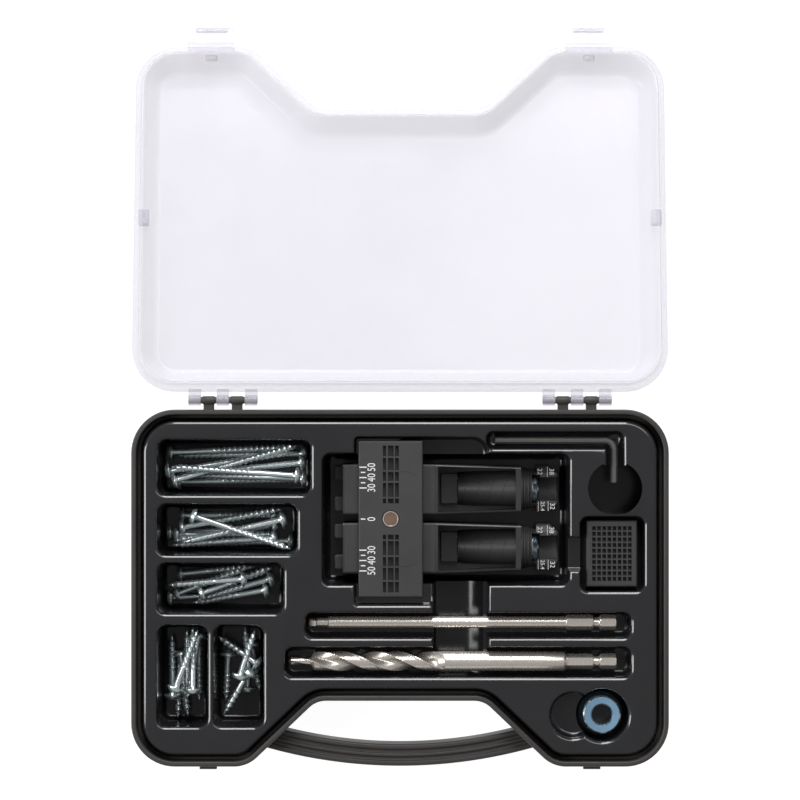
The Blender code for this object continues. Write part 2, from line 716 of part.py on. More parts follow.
# The insert tray's pockets. Each is (outline corners, depth below the tray's top).
GUIDE_Y = TRAY_BACK - GUIDE_BACK_MARGIN - PLATE_LENGTH / 2
GUIDE_BOTTOM = TRAY_TOP - GUIDE_POCKET_DEPTH + CLEARANCE
PLATE_BOTTOM = GUIDE_BOTTOM + BODY_HEIGHT + CLEARANCE
PLATE_LEFT = GUIDE_CENTRE_X - PLATE_WIDTH / 2
PLATE_RIGHT = GUIDE_CENTRE_X + PLATE_WIDTH / 2
BODY_RIGHT = BODY_LEFT + BODY_LENGTH
BIT_RIGHT = TRAY_RIGHT - BIT_END_MARGIN
DRIVER_Y = TRAY_BACK - DRIVER_BACK_MARGIN
DRILL_Y = DRIVER_Y - BIT_SPACING
KEY_Y = TRAY_BACK - KEY_BACK_MARGIN
KEY_RIGHT = TRAY_RIGHT - KEY_SIDE_MARGIN
KEY_FRONT = KEY_Y - KEY_SHORT_ARM
COLLAR_X = TRAY_RIGHT - COLLAR_SIDE_MARGIN
COLLAR_Y = -CASE_DEPTH / 2 + COLLAR_FRONT_MARGIN
PAD_X = TRAY_RIGHT - PAD_SIDE_MARGIN
PAD_Y = GUIDE_Y - PAD_DROP


def screw_pockets():
    """The five screw compartments as (screw length, left, right, front, back): three rows, then two side by side."""
    left = TRAY_LEFT + SCREW_SIDE_MARGIN
    back = TRAY_BACK - SCREW_BACK_MARGIN
    pockets = []
    for length, width, depth, gap in SCREW_ROWS:
        pockets.append((length, left, left + width, back - depth, back))
        back -= depth + gap
    for length, width, depth in SCREW_COLUMNS:
        pockets.append((length, left, left + width, back - depth, back))
        left += width + COLUMN_GAP
    return pockets


def tray_pockets():
    """Every hollow of the tray as (name, corners, depth), the shallow ones that join two others included."""
    found = []
    for length, left, right, front, back in screw_pockets():
        found.append((f"screws_{length}", rectangle(left, right, front, back, POCKET_RADIUS), SCREW_POCKET_DEPTH))
    return found + guide_pockets() + bit_pockets() + small_pockets()


def guide_pockets():
    """The hollows for the drill guide: its two bodies, its plate, and a fingertip behind it."""
    reach = (BODY_SPACING + BODY_WIDTH) / 2 + GUIDE_MARGIN
    front = GUIDE_Y - PLATE_LENGTH / 2 - PLATE_MARGIN
    back = GUIDE_Y + PLATE_LENGTH / 2 + PLATE_MARGIN
    bodies = rectangle(BODY_LEFT - STOP_REACH - STOP_MARGIN, BODY_RIGHT + NOSE_MARGIN, GUIDE_Y - reach, GUIDE_Y + reach,
                       POCKET_FORM_RADIUS)
    plate = rectangle(PLATE_LEFT - PLATE_MARGIN, PLATE_RIGHT + FINGER_MARGIN, front, back, PLATE_FORM_RADIUS)
    finger = rectangle(PLATE_RIGHT, FINGER_RIGHT, GUIDE_Y, back - FINGER_STEP, FINGER_FORM_RADIUS)
    return [
        ("guide", bodies, GUIDE_POCKET_DEPTH),
        ("plate", plate, TRAY_TOP - PLATE_BOTTOM + CLEARANCE),
        ("finger", finger, FINGER_DEPTH),
    ]


def bit_pockets():
    """The two bits' slots, and the finger channel that crosses them from the guide's hollow."""
    heel = BIT_RIGHT + BIT_HEEL_MARGIN
    channel = rectangle(FINGER_LEFT, FINGER_RIGHT, DRILL_Y - CHANNEL_MARGIN, GUIDE_Y, POCKET_FORM_RADIUS)
    driver = rectangle(BIT_RIGHT - DRIVER_LENGTH - BIT_TIP_MARGIN, heel,
                       DRIVER_Y - DRIVER_POCKET_HALF, DRIVER_Y + DRIVER_POCKET_HALF, POCKET_FORM_RADIUS)
    drill = rectangle(BIT_RIGHT - DRILL_LENGTH - BIT_TIP_MARGIN, heel,
                      DRILL_Y - DRILL_POCKET_HALF, DRILL_Y + DRILL_POCKET_HALF, POCKET_FORM_RADIUS)
    return [
        ("channel", channel, CHANNEL_DEPTH),
        ("driver", driver, BIT_POCKET_DEPTH),
        ("drill", drill, BIT_POCKET_DEPTH),
    ]


def small_pockets():
    """The hollows for the clamp pad, with the notch that joins it to the guide's, and for the bent key."""
    half_width = PAD_WIDTH / 2 + PAD_MARGIN
    half_length = PAD_LENGTH / 2 + PAD_END_MARGIN
    key_back = KEY_Y + KEY_MARGIN
    key_right = KEY_RIGHT + KEY_MARGIN
    pad = rectangle(PAD_X - half_width, PAD_X + half_width, PAD_Y - half_length, PAD_Y + half_length, POCKET_FORM_RADIUS)
    link = rectangle(BODY_RIGHT, PAD_X, PAD_Y - LINK_HALF, PAD_Y + LINK_HALF, PLATE_FORM_RADIUS)
    key = rectangle(KEY_RIGHT - KEY_LONG_ARM - KEY_MARGIN, key_right, KEY_Y - KEY_MARGIN, key_back, KEY_FORM_RADIUS)
    turn = rectangle(KEY_RIGHT - KEY_MARGIN, key_right, KEY_FRONT, key_back, KEY_FORM_RADIUS)
    return [
        ("pad", pad, PAD_POCKET_DEPTH),
        ("link", link, LINK_DEPTH),
        ("key", key, KEY_DEPTH),
        ("key_turn", turn, KEY_DEPTH),
    ]


def round_pockets():
    """The tray's round hollows as (name, centre, radius, depth)."""
    return [
        ("key_end", (KEY_RIGHT, KEY_FRONT - KEY_END_DROP), KEY_END_RADIUS, KEY_END_DEPTH),
        ("collar", (COLLAR_X, COLLAR_Y), COLLAR_POCKET_RADIUS, COLLAR_POCKET_DEPTH),
        ("thumb", (COLLAR_X - THUMB_SPACING, COLLAR_Y), THUMB_RADIUS, THUMB_DEPTH),
    ]


def build_tray():
    """A thin formed sheet: a flat top with a skirt that stands on the base's shelf, and a cup for each hollow."""
    shelf = RIM_TOP - SHELF_DROP + CLEARANCE
    tray = loft("insert_tray", case_rings([
        (TRAY_INSET, shelf),
        (TRAY_INSET, TRAY_TOP - 0.8 * MM),
        (TRAY_INSET + 0.8 * MM, TRAY_TOP),
    ]), "tray_black")
    under = loft("tray_underside", case_rings([
        (TRAY_INSET + TRAY_THICKNESS, shelf - 1 * MM),
        (TRAY_INSET + TRAY_THICKNESS, TRAY_TOP - TRAY_THICKNESS - 0.6 * MM),
        (TRAY_INSET + TRAY_THICKNESS + 0.6 * MM, TRAY_TOP - TRAY_THICKNESS),
    ]))
    cut(tray, under)
    cups, hollows = [], []
    for name, corners, depth in tray_pockets():
        floor = TRAY_TOP - depth
        draft = POCKET_DRAFT * depth / SCREW_POCKET_DEPTH
        wall = -TRAY_THICKNESS
        cups.append(loft("cup_" + name, [
            (rounded(inset(corners, wall + draft)), floor - TRAY_THICKNESS),
            (rounded(inset(corners, wall)), TRAY_TOP - TRAY_THICKNESS / 2),
        ]))
        hollows.append(loft("hollow_" + name, [
            (rounded(inset(corners, draft)), floor),
            (rounded(corners), TRAY_TOP),
            (rounded(corners), TRAY_TOP + 1 * MM),
        ]))
    for name, centre, radius, depth in round_pockets():
        floor = TRAY_TOP - depth
        base = (*centre, floor - TRAY_THICKNESS)
        cups.append(cylinder("cup_" + name, base, (0, 0, 1), depth, radius - ROUND_DRAFT + TRAY_THICKNESS,
                             sides=32, end_radius=radius + TRAY_THICKNESS))
        hollows.append(cylinder("hollow_" + name, (*centre, floor), (0, 0, 1), depth + 1 * MM, radius - ROUND_DRAFT,
                                sides=32, end_radius=radius + ROUND_DRAFT / depth * MM))
    join(tray, *cups)
    return cut(tray, *hollows)


def build_plate():
    """The spacing plate: a flat bar over the two guide bodies, with a rail below that they slide along."""
    front = GUIDE_Y - PLATE_LENGTH / 2
    back = GUIDE_Y + PLATE_LENGTH / 2
    top = PLATE_BOTTOM + PLATE_THICKNESS
    outline = rectangle(PLATE_LEFT, PLATE_RIGHT, front, back, PLATE_CORNER)
    plate = loft("spacer_plate", [
        (rounded(inset(outline, 0.4 * MM)), PLATE_BOTTOM),
        (rounded(outline), PLATE_BOTTOM + 0.4 * MM),
        (rounded(outline), top - 0.6 * MM),
        (rounded(inset(outline, 0.6 * MM)), top),
    ], "guide_grey")
    end = RAIL_END
    rail = box(
        "plate_rail",
        (GUIDE_CENTRE_X - RAIL_WIDTH / 2, front + end, PLATE_BOTTOM - RAIL_DEPTH),
        (GUIDE_CENTRE_X + RAIL_WIDTH / 2, back - end, PLATE_BOTTOM + 1 * MM),
    )
    seat = cylinder("magnet_seat", (GUIDE_CENTRE_X, GUIDE_Y, top - MAGNET_THICKNESS - CLEARANCE), (0, 0, 1),
                    MAGNET_THICKNESS + 1 * MM, MAGNET_RADIUS + CLEARANCE, sides=32)
    join(plate, rail)
    cut(plate, seat, *plate_slots(top))
    cylinder("plate_magnet", (GUIDE_CENTRE_X, GUIDE_Y, top - MAGNET_THICKNESS), (0, 0, 1),
             MAGNET_THICKNESS - 0.1 * MM, MAGNET_RADIUS, "magnet", sides=32)
    return plate


def plate_slots(top):
    """The blind recesses that lighten the plate: three columns of five, either side of the magnet."""
    slots = []
    for side in (-1, 1):
        for row, (distance, length) in enumerate(SLOT_ROWS):
            for column, (offset, width) in enumerate(SLOT_COLUMNS):
                x = GUIDE_CENTRE_X + offset
                y = GUIDE_Y + side * distance
                slots.append(box(f"slot_{side}_{row}_{column}", (x - width / 2, y - length / 2, top - SLOT_DEPTH),
                                 (x + width / 2, y + length / 2, top + 1 * MM)))
    return slots


def guide_axis():
    """The drilling line's direction, rising towards the nose, and the point where it meets the bush's mouth."""
    slope = math.radians(DRILL_ANGLE)
    direction = Vector((math.cos(slope), 0, math.sin(slope)))
    mouth = Vector((BODY_RIGHT - NOSE_LENGTH, 0, GUIDE_BOTTOM + AXIS_HEIGHT_AT_MOUTH))
    return direction, mouth


def build_guide_body(number, side, plate_empty):
    """One drill guide: a block that slides under the plate, a window round the bush's tube, a cone and a nose."""
    direction, mouth = guide_axis()
    middle = side * BODY_SPACING / 2 + GUIDE_Y
    half = BODY_WIDTH / 2
    bottom, top = GUIDE_BOTTOM, GUIDE_BOTTOM + BODY_HEIGHT
    window_left = BODY_LEFT + WINDOW_START
    window_right = BODY_LEFT + WINDOW_END
    name = f"guide_body_{number}"
    body = prism(name, rectangle(BODY_LEFT, window_right, middle - half, middle + half, BODY_CORNER), bottom, top,
                 "guide_black")
    inner = half - WINDOW_WALL
    opening = rectangle(window_left, window_right - WINDOW_BAR, middle - inner, middle + inner, 1.5 * MM)
    window = prism(name + "_window", opening, bottom + WINDOW_FLOOR, top + 1 * MM)
    tube_end = mouth - direction * TUBE_LENGTH + Vector((0, middle, 0))
    tube = cylinder(name + "_tube", tube_end, direction, TUBE_LENGTH - TUBE_INSET, TUBE_RADIUS)
    cone = cylinder(name + "_cone", (window_right - 1 * MM, middle, bottom + NECK_HEIGHT), (1, 0, 0),
                    NECK_LENGTH + 1 * MM, NECK_RADIUS, sides=32, end_radius=NECK_END_RADIUS)
    nose_left = window_right + NECK_LENGTH - 1 * MM
    nose_half = NOSE_WIDTH / 2
    nose = prism(name + "_nose", [
        (nose_left, middle - nose_half, 1 * MM),
        (BODY_RIGHT - NOSE_CHAMFER, middle - nose_half, 1 * MM),
        (BODY_RIGHT, middle - nose_half + NOSE_CHAMFER, 1 * MM),
        (BODY_RIGHT, middle + nose_half - NOSE_CHAMFER, 1 * MM),
        (BODY_RIGHT - NOSE_CHAMFER, middle + nose_half, 1 * MM),
        (nose_left, middle + nose_half, 1 * MM),
    ], bottom, bottom + NOSE_HEIGHT, steps=2)
    under = box(name + "_under", (BODY_LEFT - 30 * MM, middle - 2 * half, bottom - 40 * MM),
                (BODY_RIGHT + 30 * MM, middle + 2 * half, bottom))
    bore_start = mouth - direction * BORE_LENGTH + Vector((0, middle, 0))
    bore = cylinder(name + "_bore", bore_start, direction, BORE_LENGTH + 1 * MM, BUSH_RADIUS + CLEARANCE, sides=32)
    trough = cylinder(name + "_trough", mouth + Vector((0, middle, 0)), direction, 30 * MM, TROUGH_RADIUS, sides=24)
    mouth_cut = box(name + "_mouth", (0, -BUSH_RADIUS - 1.3 * MM, -BUSH_RADIUS - 1 * MM),
                    (30 * MM, BUSH_RADIUS + 1.3 * MM, 30 * MM), None,
                    Matrix.Translation(mouth + Vector((0, middle, 0))) @ Matrix.Rotation(-math.radians(DRILL_ANGLE), 4, "Y")
                    @ Matrix.Translation((-0.2 * MM, 0, BUSH_RADIUS * 0.7)))
    channel = box(name + "_channel",
                  (GUIDE_CENTRE_X - RAIL_WIDTH / 2 - CLEARANCE, middle - 2 * half, top - RAIL_DEPTH - CLEARANCE),
                  (GUIDE_CENTRE_X + RAIL_WIDTH / 2 + CLEARANCE, middle + 2 * half, top + 1 * MM))
    cut(body, window)
    join(body, tube, cone, nose)
    cut(body, under, bore, trough, mouth_cut, channel, *stop_shape(name + "_slot", middle, CLEARANCE, STOP_TRAVEL))
    empty = joint_empty(name + "_slide", (0, middle, PLATE_BOTTOM), parent=plate_empty)
    hang(body, empty, (0, middle, PLATE_BOTTOM))
    bush = cylinder(f"drill_bush_{number}", mouth - direction * BUSH_LENGTH + Vector((0, middle, 0)), direction,
                    BUSH_LENGTH, BUSH_RADIUS, "steel", sides=32)
    cut(bush, cylinder(name + "_drilled", mouth - direction * (BUSH_LENGTH + 1 * MM) + Vector((0, middle, 0)), direction,
                       BUSH_LENGTH + 2 * MM, BUSH_BORE, sides=32))
    hang(bush, empty, (0, middle, PLATE_BOTTOM))
    build_stop(number, middle, empty)
    return body


def stop_shape(name, middle, growth, travel):
    """The edge stop's two prongs and crossbar as boxes, or the slot that it slides in."""
    left = BODY_LEFT - STOP_REACH
    right = left + STOP_LENGTH + travel + growth
    low = GUIDE_BOTTOM + (CLEARANCE if not growth else -1 * MM)
    high = GUIDE_BOTTOM + STOP_PRONG_HEIGHT + growth
    outer = BODY_WIDTH / 2 - STOP_WALL + growth
    inner = outer - STOP_PRONG_WIDTH - 2 * growth
    bar_left = right - STOP_BAR - travel - 2 * growth
    shapes = [box(name + "_bar", (bar_left, middle - outer, low), (right, middle + outer, high))]
    for side in (-1, 1):
        edges = sorted((middle + side * outer, middle + side * inner))
        shapes.append(box(f"{name}_prong_{side}", (left, edges[0], low),
                          (right - STOP_BAR / 2, edges[1], high - 0.01 * MM)))
    return shapes


def build_stop(number, middle, body_empty):
    """The fork at the guide's low end that meets the board's edge."""
    bar, *prongs = stop_shape(f"edge_stop_{number}_shape", middle, 0, 0)
    stop = add_object(f"edge_stop_{number}", bar.data.copy(), "guide_grey")
    bpy.data.objects.remove(bar)
    join(stop, *prongs)
    at = Vector((BODY_LEFT, middle, GUIDE_BOTTOM))
    empty = joint_empty(f"edge_stop_{number}_slide", at - Vector((0, middle, PLATE_BOTTOM)), parent=body_empty)
    hang(stop, empty, at)


def sectioned(sections, place, name, finish, sides=24):
    """A bit turned or ground along its length from (distance, radius of an angle) sections, laid along +X."""
    rings = []
    for distance, radius in sections:
        ring = []
        for step in range(sides):
            angle = math.tau * step / sides
            ring.append(place @ Vector((distance, radius(angle) * math.cos(angle), radius(angle) * math.sin(angle))))
        rings.append(ring)
    made = skin(name, rings, finish)
    return made


def plain(radius):
    return lambda angle: radius


def polygon(across_flats, count, turn=0.0):
    """The radius at an angle of a regular polygon with this many flats."""
    wedge = math.tau / count
    return lambda angle: across_flats / 2 / math.cos((angle + turn) % wedge - wedge / 2)


def fluted(radius, turn):
    """The radius at an angle of a drill's section: two lands with hollows between, turned along the helix."""
    return lambda angle: radius * (1 - FLUTE_SHARE * max(0.0, math.cos(2 * (angle - turn))))


def shank_sections(start):
    """The quick-change hex end: flats, a ring groove, flats again and a small chamfer."""
    flats = polygon(HEX_SHANK_FLATS, 6)
    groove = start + HEX_SHANK_LENGTH - HEX_GROOVE_FROM_END
    small = polygon(HEX_SHANK_FLATS - 2 * HEX_CHAMFER, 6)
    end = start + HEX_SHANK_LENGTH
    return [
        (start, small), (start + HEX_CHAMFER, flats), (groove - HEX_CHAMFER, flats), (groove, plain(HEX_GROOVE_RADIUS)),
        (groove + HEX_GROOVE_LENGTH, plain(HEX_GROOVE_RADIUS)), (groove + HEX_GROOVE_LENGTH + HEX_CHAMFER, flats),
        (end - HEX_CHAMFER, flats), (end, small),
    ]


def build_drill_bit():
    """The stepped drill: a pilot tip, two helical flutes, a plain shank and a hex end."""
    floor = TRAY_TOP - BIT_POCKET_DEPTH
    place = Matrix.Translation((BIT_RIGHT - DRILL_LENGTH, DRILL_Y, floor + DRILL_RADIUS + CLEARANCE))
    point = 1.4 * MM
    pilot = plain(DRILL_PILOT_RADIUS)
    sections = [(0, plain(0.3 * MM)), (point, pilot), (DRILL_PILOT_LENGTH, pilot)]
    start = DRILL_PILOT_LENGTH + point
    for step in range(FLUTE_STEPS + 1):
        share = step / FLUTE_STEPS
        turn = math.tau * FLUTE_TURNS * share
        sections.append((start + (DRILL_FLUTE_LENGTH - start) * share, fluted(DRILL_RADIUS, turn)))
    hex_start = DRILL_LENGTH - HEX_SHANK_LENGTH
    full = plain(DRILL_RADIUS)
    sections += [(DRILL_FLUTE_LENGTH + 3 * MM, full), (hex_start - point, full), *shank_sections(hex_start)]
    return sectioned(sections, place, "drill_bit", "steel")


def build_driver_bit():
    """The long screwdriver bit: a square tip, a short neck, a round shaft and a hex end."""
    floor = TRAY_TOP - BIT_POCKET_DEPTH
    rest = HEX_SHANK_FLATS / math.sqrt(3)
    middle = DRIVER_Y + DRIVER_OFF_CENTRE
    place = Matrix.Translation((BIT_RIGHT - DRIVER_LENGTH, middle, floor + rest + CLEARANCE))
    chamfer = 0.4 * MM
    tip = polygon(DRIVER_TIP_FLATS, 4)
    neck = plain(DRIVER_NECK_RADIUS)
    shaft = plain(DRIVER_RADIUS)
    hex_start = DRIVER_LENGTH - HEX_SHANK_LENGTH
    sections = [
        (0, polygon(DRIVER_TIP_FLATS - 2 * chamfer, 4)), (chamfer, tip), (DRIVER_TIP_LENGTH, tip),
        (DRIVER_TIP_LENGTH + chamfer, neck), (DRIVER_NECK_LENGTH, neck), (DRIVER_NECK_LENGTH + chamfer, shaft),
        (hex_start - 1 * MM, shaft), *shank_sections(hex_start),
    ]
    return sectioned(sections, place, "driver_bit", "steel")


def build_key():
    """The bent hexagon key, lying flat: a long arm to the left, a bend, and a short arm to the front."""
    height = TRAY_TOP - KEY_DEPTH + KEY_FLATS / 2 + CLEARANCE
    bend = Vector((KEY_RIGHT - KEY_BEND_RADIUS, KEY_Y - KEY_BEND_RADIUS))
    path = [(Vector((KEY_RIGHT - KEY_LONG_ARM, KEY_Y)), Vector((0, 1)))]
    for step in range(KEY_BEND_STEPS + 1):
        angle = math.pi / 2 * (1 - step / KEY_BEND_STEPS)
        outward = Vector((math.cos(angle), math.sin(angle)))
        path.append((bend + outward * KEY_BEND_RADIUS, outward))
    path.append((Vector((KEY_RIGHT, KEY_FRONT)), Vector((1, 0))))
    radius = KEY_FLATS / math.sqrt(3)
    rings = []
    for centre, outward in path:
        ring = []
        for corner in range(6):
            angle = math.tau * corner / 6
            shift = outward * radius * math.cos(angle)
            ring.append((centre.x + shift.x, centre.y + shift.y, height + radius * math.sin(angle)))
        rings.append(ring)
    return skin("hex_key", rings, "key_black")


def build_collar():
    """The depth-stop collar with a tapped cross hole, and its grub screw with a hexagon socket."""
    floor = TRAY_TOP - COLLAR_POCKET_DEPTH + CLEARANCE
    centre = Vector((COLLAR_X, COLLAR_Y, floor))
    edge = COLLAR_CHAMFER
    collar = turned("stop_collar", [
        (0, COLLAR_HEIGHT), (COLLAR_RADIUS - edge, COLLAR_HEIGHT), (COLLAR_RADIUS, COLLAR_HEIGHT - edge),
        (COLLAR_RADIUS, edge), (COLLAR_RADIUS - edge, 0), (0, 0),
    ], 40, Matrix.Translation(centre), "blue_steel")
    bore = cylinder("collar_bore", centre - Vector((0, 0, 1 * MM)), (0, 0, 1), COLLAR_HEIGHT + 2 * MM, COLLAR_BORE,
                    sides=32)
    middle = centre + Vector((0, 0, COLLAR_HEIGHT / 2))
    tapped = cylinder("collar_tapped", middle, (1, 0, 0), 2 * COLLAR_RADIUS, SET_SCREW_RADIUS + 0.1 * MM)
    cut(collar, bore, tapped)
    start = middle + Vector((COLLAR_BORE + 0.5 * MM, 0, 0))
    grub = cylinder("collar_screw", start, (1, 0, 0), COLLAR_RADIUS - COLLAR_BORE - 1 * MM, SET_SCREW_RADIUS - 0.2 * MM,
                    "steel")
    cut(grub, cylinder("grub_socket", start + Vector((1.5 * MM, 0, 0)), (1, 0, 0), 5 * MM, SOCKET_RADIUS, sides=6))
    return collar


def build_pad():
    """The clamp's pad: a framed block whose face is a lattice of square cells."""
    low = Vector((PAD_X - PAD_WIDTH / 2, PAD_Y - PAD_LENGTH / 2, TRAY_TOP - PAD_POCKET_DEPTH + CLEARANCE))
    high = low + Vector((PAD_WIDTH, PAD_LENGTH, PAD_THICKNESS))
    pad = prism("clamp_pad", rectangle(low.x, high.x, low.y, high.y, 1.5 * MM), low.z, high.z, "rubber", steps=3)
    face = high.z - PAD_HOLE_DEPTH
    recess = box("pad_recess", (low.x + PAD_BORDER, low.y + PAD_BORDER, face),
                 (high.x - PAD_BORDER, high.y - PAD_BORDER, high.z + 1 * MM))
    ribs = []
    for column in range(1, PAD_COLUMNS):
        x = low.x + PAD_BORDER + (PAD_WIDTH - 2 * PAD_BORDER) * column / PAD_COLUMNS
        ribs.append(box(f"pad_column_{column}", (x - PAD_RIB / 2, low.y + 1 * MM, face - 1 * MM),
                        (x + PAD_RIB / 2, high.y - 1 * MM, high.z - 0.2 * MM)))
    for row in range(1, PAD_ROWS):
        y = low.y + PAD_BORDER + (PAD_LENGTH - 2 * PAD_BORDER) * row / PAD_ROWS
        ribs.append(box(f"pad_row_{row}", (low.x + 1 * MM, y - PAD_RIB / 2, face - 1.1 * MM),
                        (high.x - 1 * MM, y + PAD_RIB / 2, high.z - 0.25 * MM)))
    cut(pad, recess)
    return join(pad, *ribs)


def screw_mesh(length):
    """A pan-head screw along +X from its head's top, tilted as it lies: resting on its head's rim and its tip."""
    core = SCREW_THREAD_RADIUS
    rings = [
        (0, SCREW_HEAD_RADIUS * 0.6), (0.7 * MM, SCREW_HEAD_RADIUS * 0.82),
        (SCREW_HEAD_HEIGHT - 0.8 * MM, SCREW_HEAD_RADIUS),
        (SCREW_HEAD_HEIGHT, SCREW_HEAD_RADIUS), (SCREW_HEAD_HEIGHT + 0.2 * MM, core),
        (length - SCREW_TIP_LENGTH, core), (length, 0.3 * MM),
    ]
    tilt = math.atan2(SCREW_HEAD_RADIUS - core, length)
    place = Matrix.Rotation(tilt, 4, "Y") @ Matrix.Translation((-length / 2, 0, 0))
    points = []
    for distance, radius in rings:
        for step in range(SCREW_SIDES):
            angle = math.tau * (step + 0.5) / SCREW_SIDES
            points.append(place @ Vector((distance, radius * math.cos(angle), radius * math.sin(angle))))
    return points


def screw_faces(ring_count):
    faces = [tuple(range(SCREW_SIDES))[::-1]]
    for ring in range(ring_count - 1):
        for step in range(SCREW_SIDES):
            here = ring * SCREW_SIDES + step
            after = ring * SCREW_SIDES + (step + 1) % SCREW_SIDES
            faces.append((here, after, after + SCREW_SIDES, here + SCREW_SIDES))
    faces.append(tuple(range((ring_count - 1) * SCREW_SIDES, ring_count * SCREW_SIDES)))
    return faces


def build_screws():
    """Each compartment's loose screws, dropped one by one onto the floor or onto the screws below."""
    for (length, left, right, front, back), lying in zip(screw_pockets(), SCREWS_LYING):
        points = screw_mesh(length * MM)
        faces = screw_faces(len(points) // SCREW_SIDES)
        mesh = bpy.data.meshes.new(f"screw_{length}")
        mesh.from_pydata(points, [], faces)
        mesh.materials.append(material("zinc"))
        floor = TRAY_TOP - SCREW_POCKET_DEPTH
        settled = []
        for number, (along, across, heading) in enumerate(lying, start=1):
            turn = math.radians(heading)
            spun = Matrix.Rotation(turn, 4, "Z")
            turned_points = [spun @ point for point in points]
            middle = Vector((
                free_middle(left, right, [point.x for point in turned_points], along),
                free_middle(front, back, [point.y for point in turned_points], across),
            ))
            height = TRAY_TOP - SCREW_HEAD_RADIUS
            lowest = floor + CLEARANCE - min((spun @ point).z for point in points)
            lower = height - SCREW_DROP_STEP
            while lower > lowest and not touches(spun, middle, lower, points, faces, settled):
                height = lower
                lower = height - SCREW_DROP_STEP
            if height - lowest < SCREW_DROP_STEP:
                height = lowest if not touches(spun, middle, lowest, points, faces, settled) else height
            place = Matrix.Translation((middle.x, middle.y, height)) @ spun
            settled.append(BVHTree.FromPolygons([place @ point for point in points], faces))
            made = bpy.data.objects.new(f"screw_{length}_{number}", mesh)
            KIT.objects.link(made)
            made.matrix_world = place


def free_middle(low, high, reaches, share):
    """Where a screw's middle lies between two walls: -1 against the low wall, 1 against the high one."""
    gap = POCKET_DRAFT + SCREW_WALL_GAP
    first = low + gap - min(reaches)
    last = high - gap - max(reaches)
    return (first + last) / 2 + share * (last - first) / 2


def touches(spun, middle, height, points, faces, settled):
    """Whether a screw at this height would meet one that already lies there."""
    place = Matrix.Translation((middle.x, middle.y, height)) @ spun
    tree = BVHTree.FromPolygons([place @ point for point in points], faces)
    return any(tree.overlap(other) for other in settled)


clear_scene()
KIT = collection("pocket_hole_kit")
TOOLS = collection("cutters")
TOOLS.hide_render = True
build_base()
build_handle()
LID_HINGE = joint_empty("lid_hinge", (0, HINGE_Y, HINGE_Z), (-lid_opening(), 0, 0))
build_lid(LID_HINGE)
for side_label, side_direction in (("left", -1), ("right", 1)):
    build_latch(side_label, side_direction, LID_HINGE)
build_tray()
build_plate()
PLATE_EMPTY = joint_empty("plate_lift", (0, 0, 0))
for body_number, body_side in ((1, 1), (2, -1)):
    build_guide_body(body_number, body_side, PLATE_EMPTY)
build_drill_bit()
build_driver_bit()
build_key()
build_collar()
build_pad()
build_screws()
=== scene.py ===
"""Visible surfaces and finishes of a pocket-hole jig kit that lies open in its carry case. Metres, +Z up."""

from __future__ import annotations

import json
import logging
import math
from dataclasses import dataclass, field
from enum import Enum
from typing import Callable, Iterable, Sequence

import bpy
import numpy as np
from mathutils import Matrix, Vector
from numpy.typing import NDArray


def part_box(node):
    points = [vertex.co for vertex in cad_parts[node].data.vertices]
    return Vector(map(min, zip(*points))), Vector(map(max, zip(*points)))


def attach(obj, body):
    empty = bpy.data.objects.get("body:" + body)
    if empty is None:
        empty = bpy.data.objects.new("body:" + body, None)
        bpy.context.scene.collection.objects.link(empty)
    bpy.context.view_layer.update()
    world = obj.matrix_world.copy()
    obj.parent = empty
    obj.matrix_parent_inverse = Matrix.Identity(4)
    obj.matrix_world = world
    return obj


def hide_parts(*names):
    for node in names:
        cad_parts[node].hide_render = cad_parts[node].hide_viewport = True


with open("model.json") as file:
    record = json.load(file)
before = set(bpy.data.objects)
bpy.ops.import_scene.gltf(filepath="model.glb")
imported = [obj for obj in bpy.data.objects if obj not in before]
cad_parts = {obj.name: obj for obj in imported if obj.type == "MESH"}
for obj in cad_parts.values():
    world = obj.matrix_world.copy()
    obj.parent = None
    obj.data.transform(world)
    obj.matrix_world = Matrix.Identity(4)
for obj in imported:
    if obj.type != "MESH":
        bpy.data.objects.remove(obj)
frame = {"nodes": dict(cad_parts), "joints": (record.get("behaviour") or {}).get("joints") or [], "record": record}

Array = NDArray[np.float64]
MM = 0.001
LEAST_RADIUS = 0.02 * MM
STEP_HALF_WIDTH = 0.025 * MM
STEP_CLEARANCE = 0.03 * MM
SHARP_ANGLE = 32.0
PATCHES_PER_METRE = 45
NOISE_RANGE = (0.3, 0.7)
BUMP_HEIGHT = 0.1 * MM
RIGHTWARDS = (1, 0, 0)
UPWARDS = (0, 0, 1)
LOG = logging.getLogger("jig_kit")
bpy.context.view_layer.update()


class Body(Enum):
    CASE = "case"
    LID = "lid"
    LATCH_LEFT = "latch_left"
    LATCH_RIGHT = "latch_right"
    PLATE = "plate"
    GUIDE_1 = "guide_1"
    GUIDE_2 = "guide_2"
    STOP_1 = "stop_1"
    STOP_2 = "stop_2"
    DRILL = "drill"
    DRIVER = "driver"
    KEY = "key"
    COLLAR = "collar"
    PAD = "pad"


# ---------------------------------------------------------------- surfaces


def unit(vectors: Array) -> Array:
    """Vectors along the last axis, each divided by its length."""
    return vectors / np.linalg.norm(vectors, axis=-1, keepdims=True)


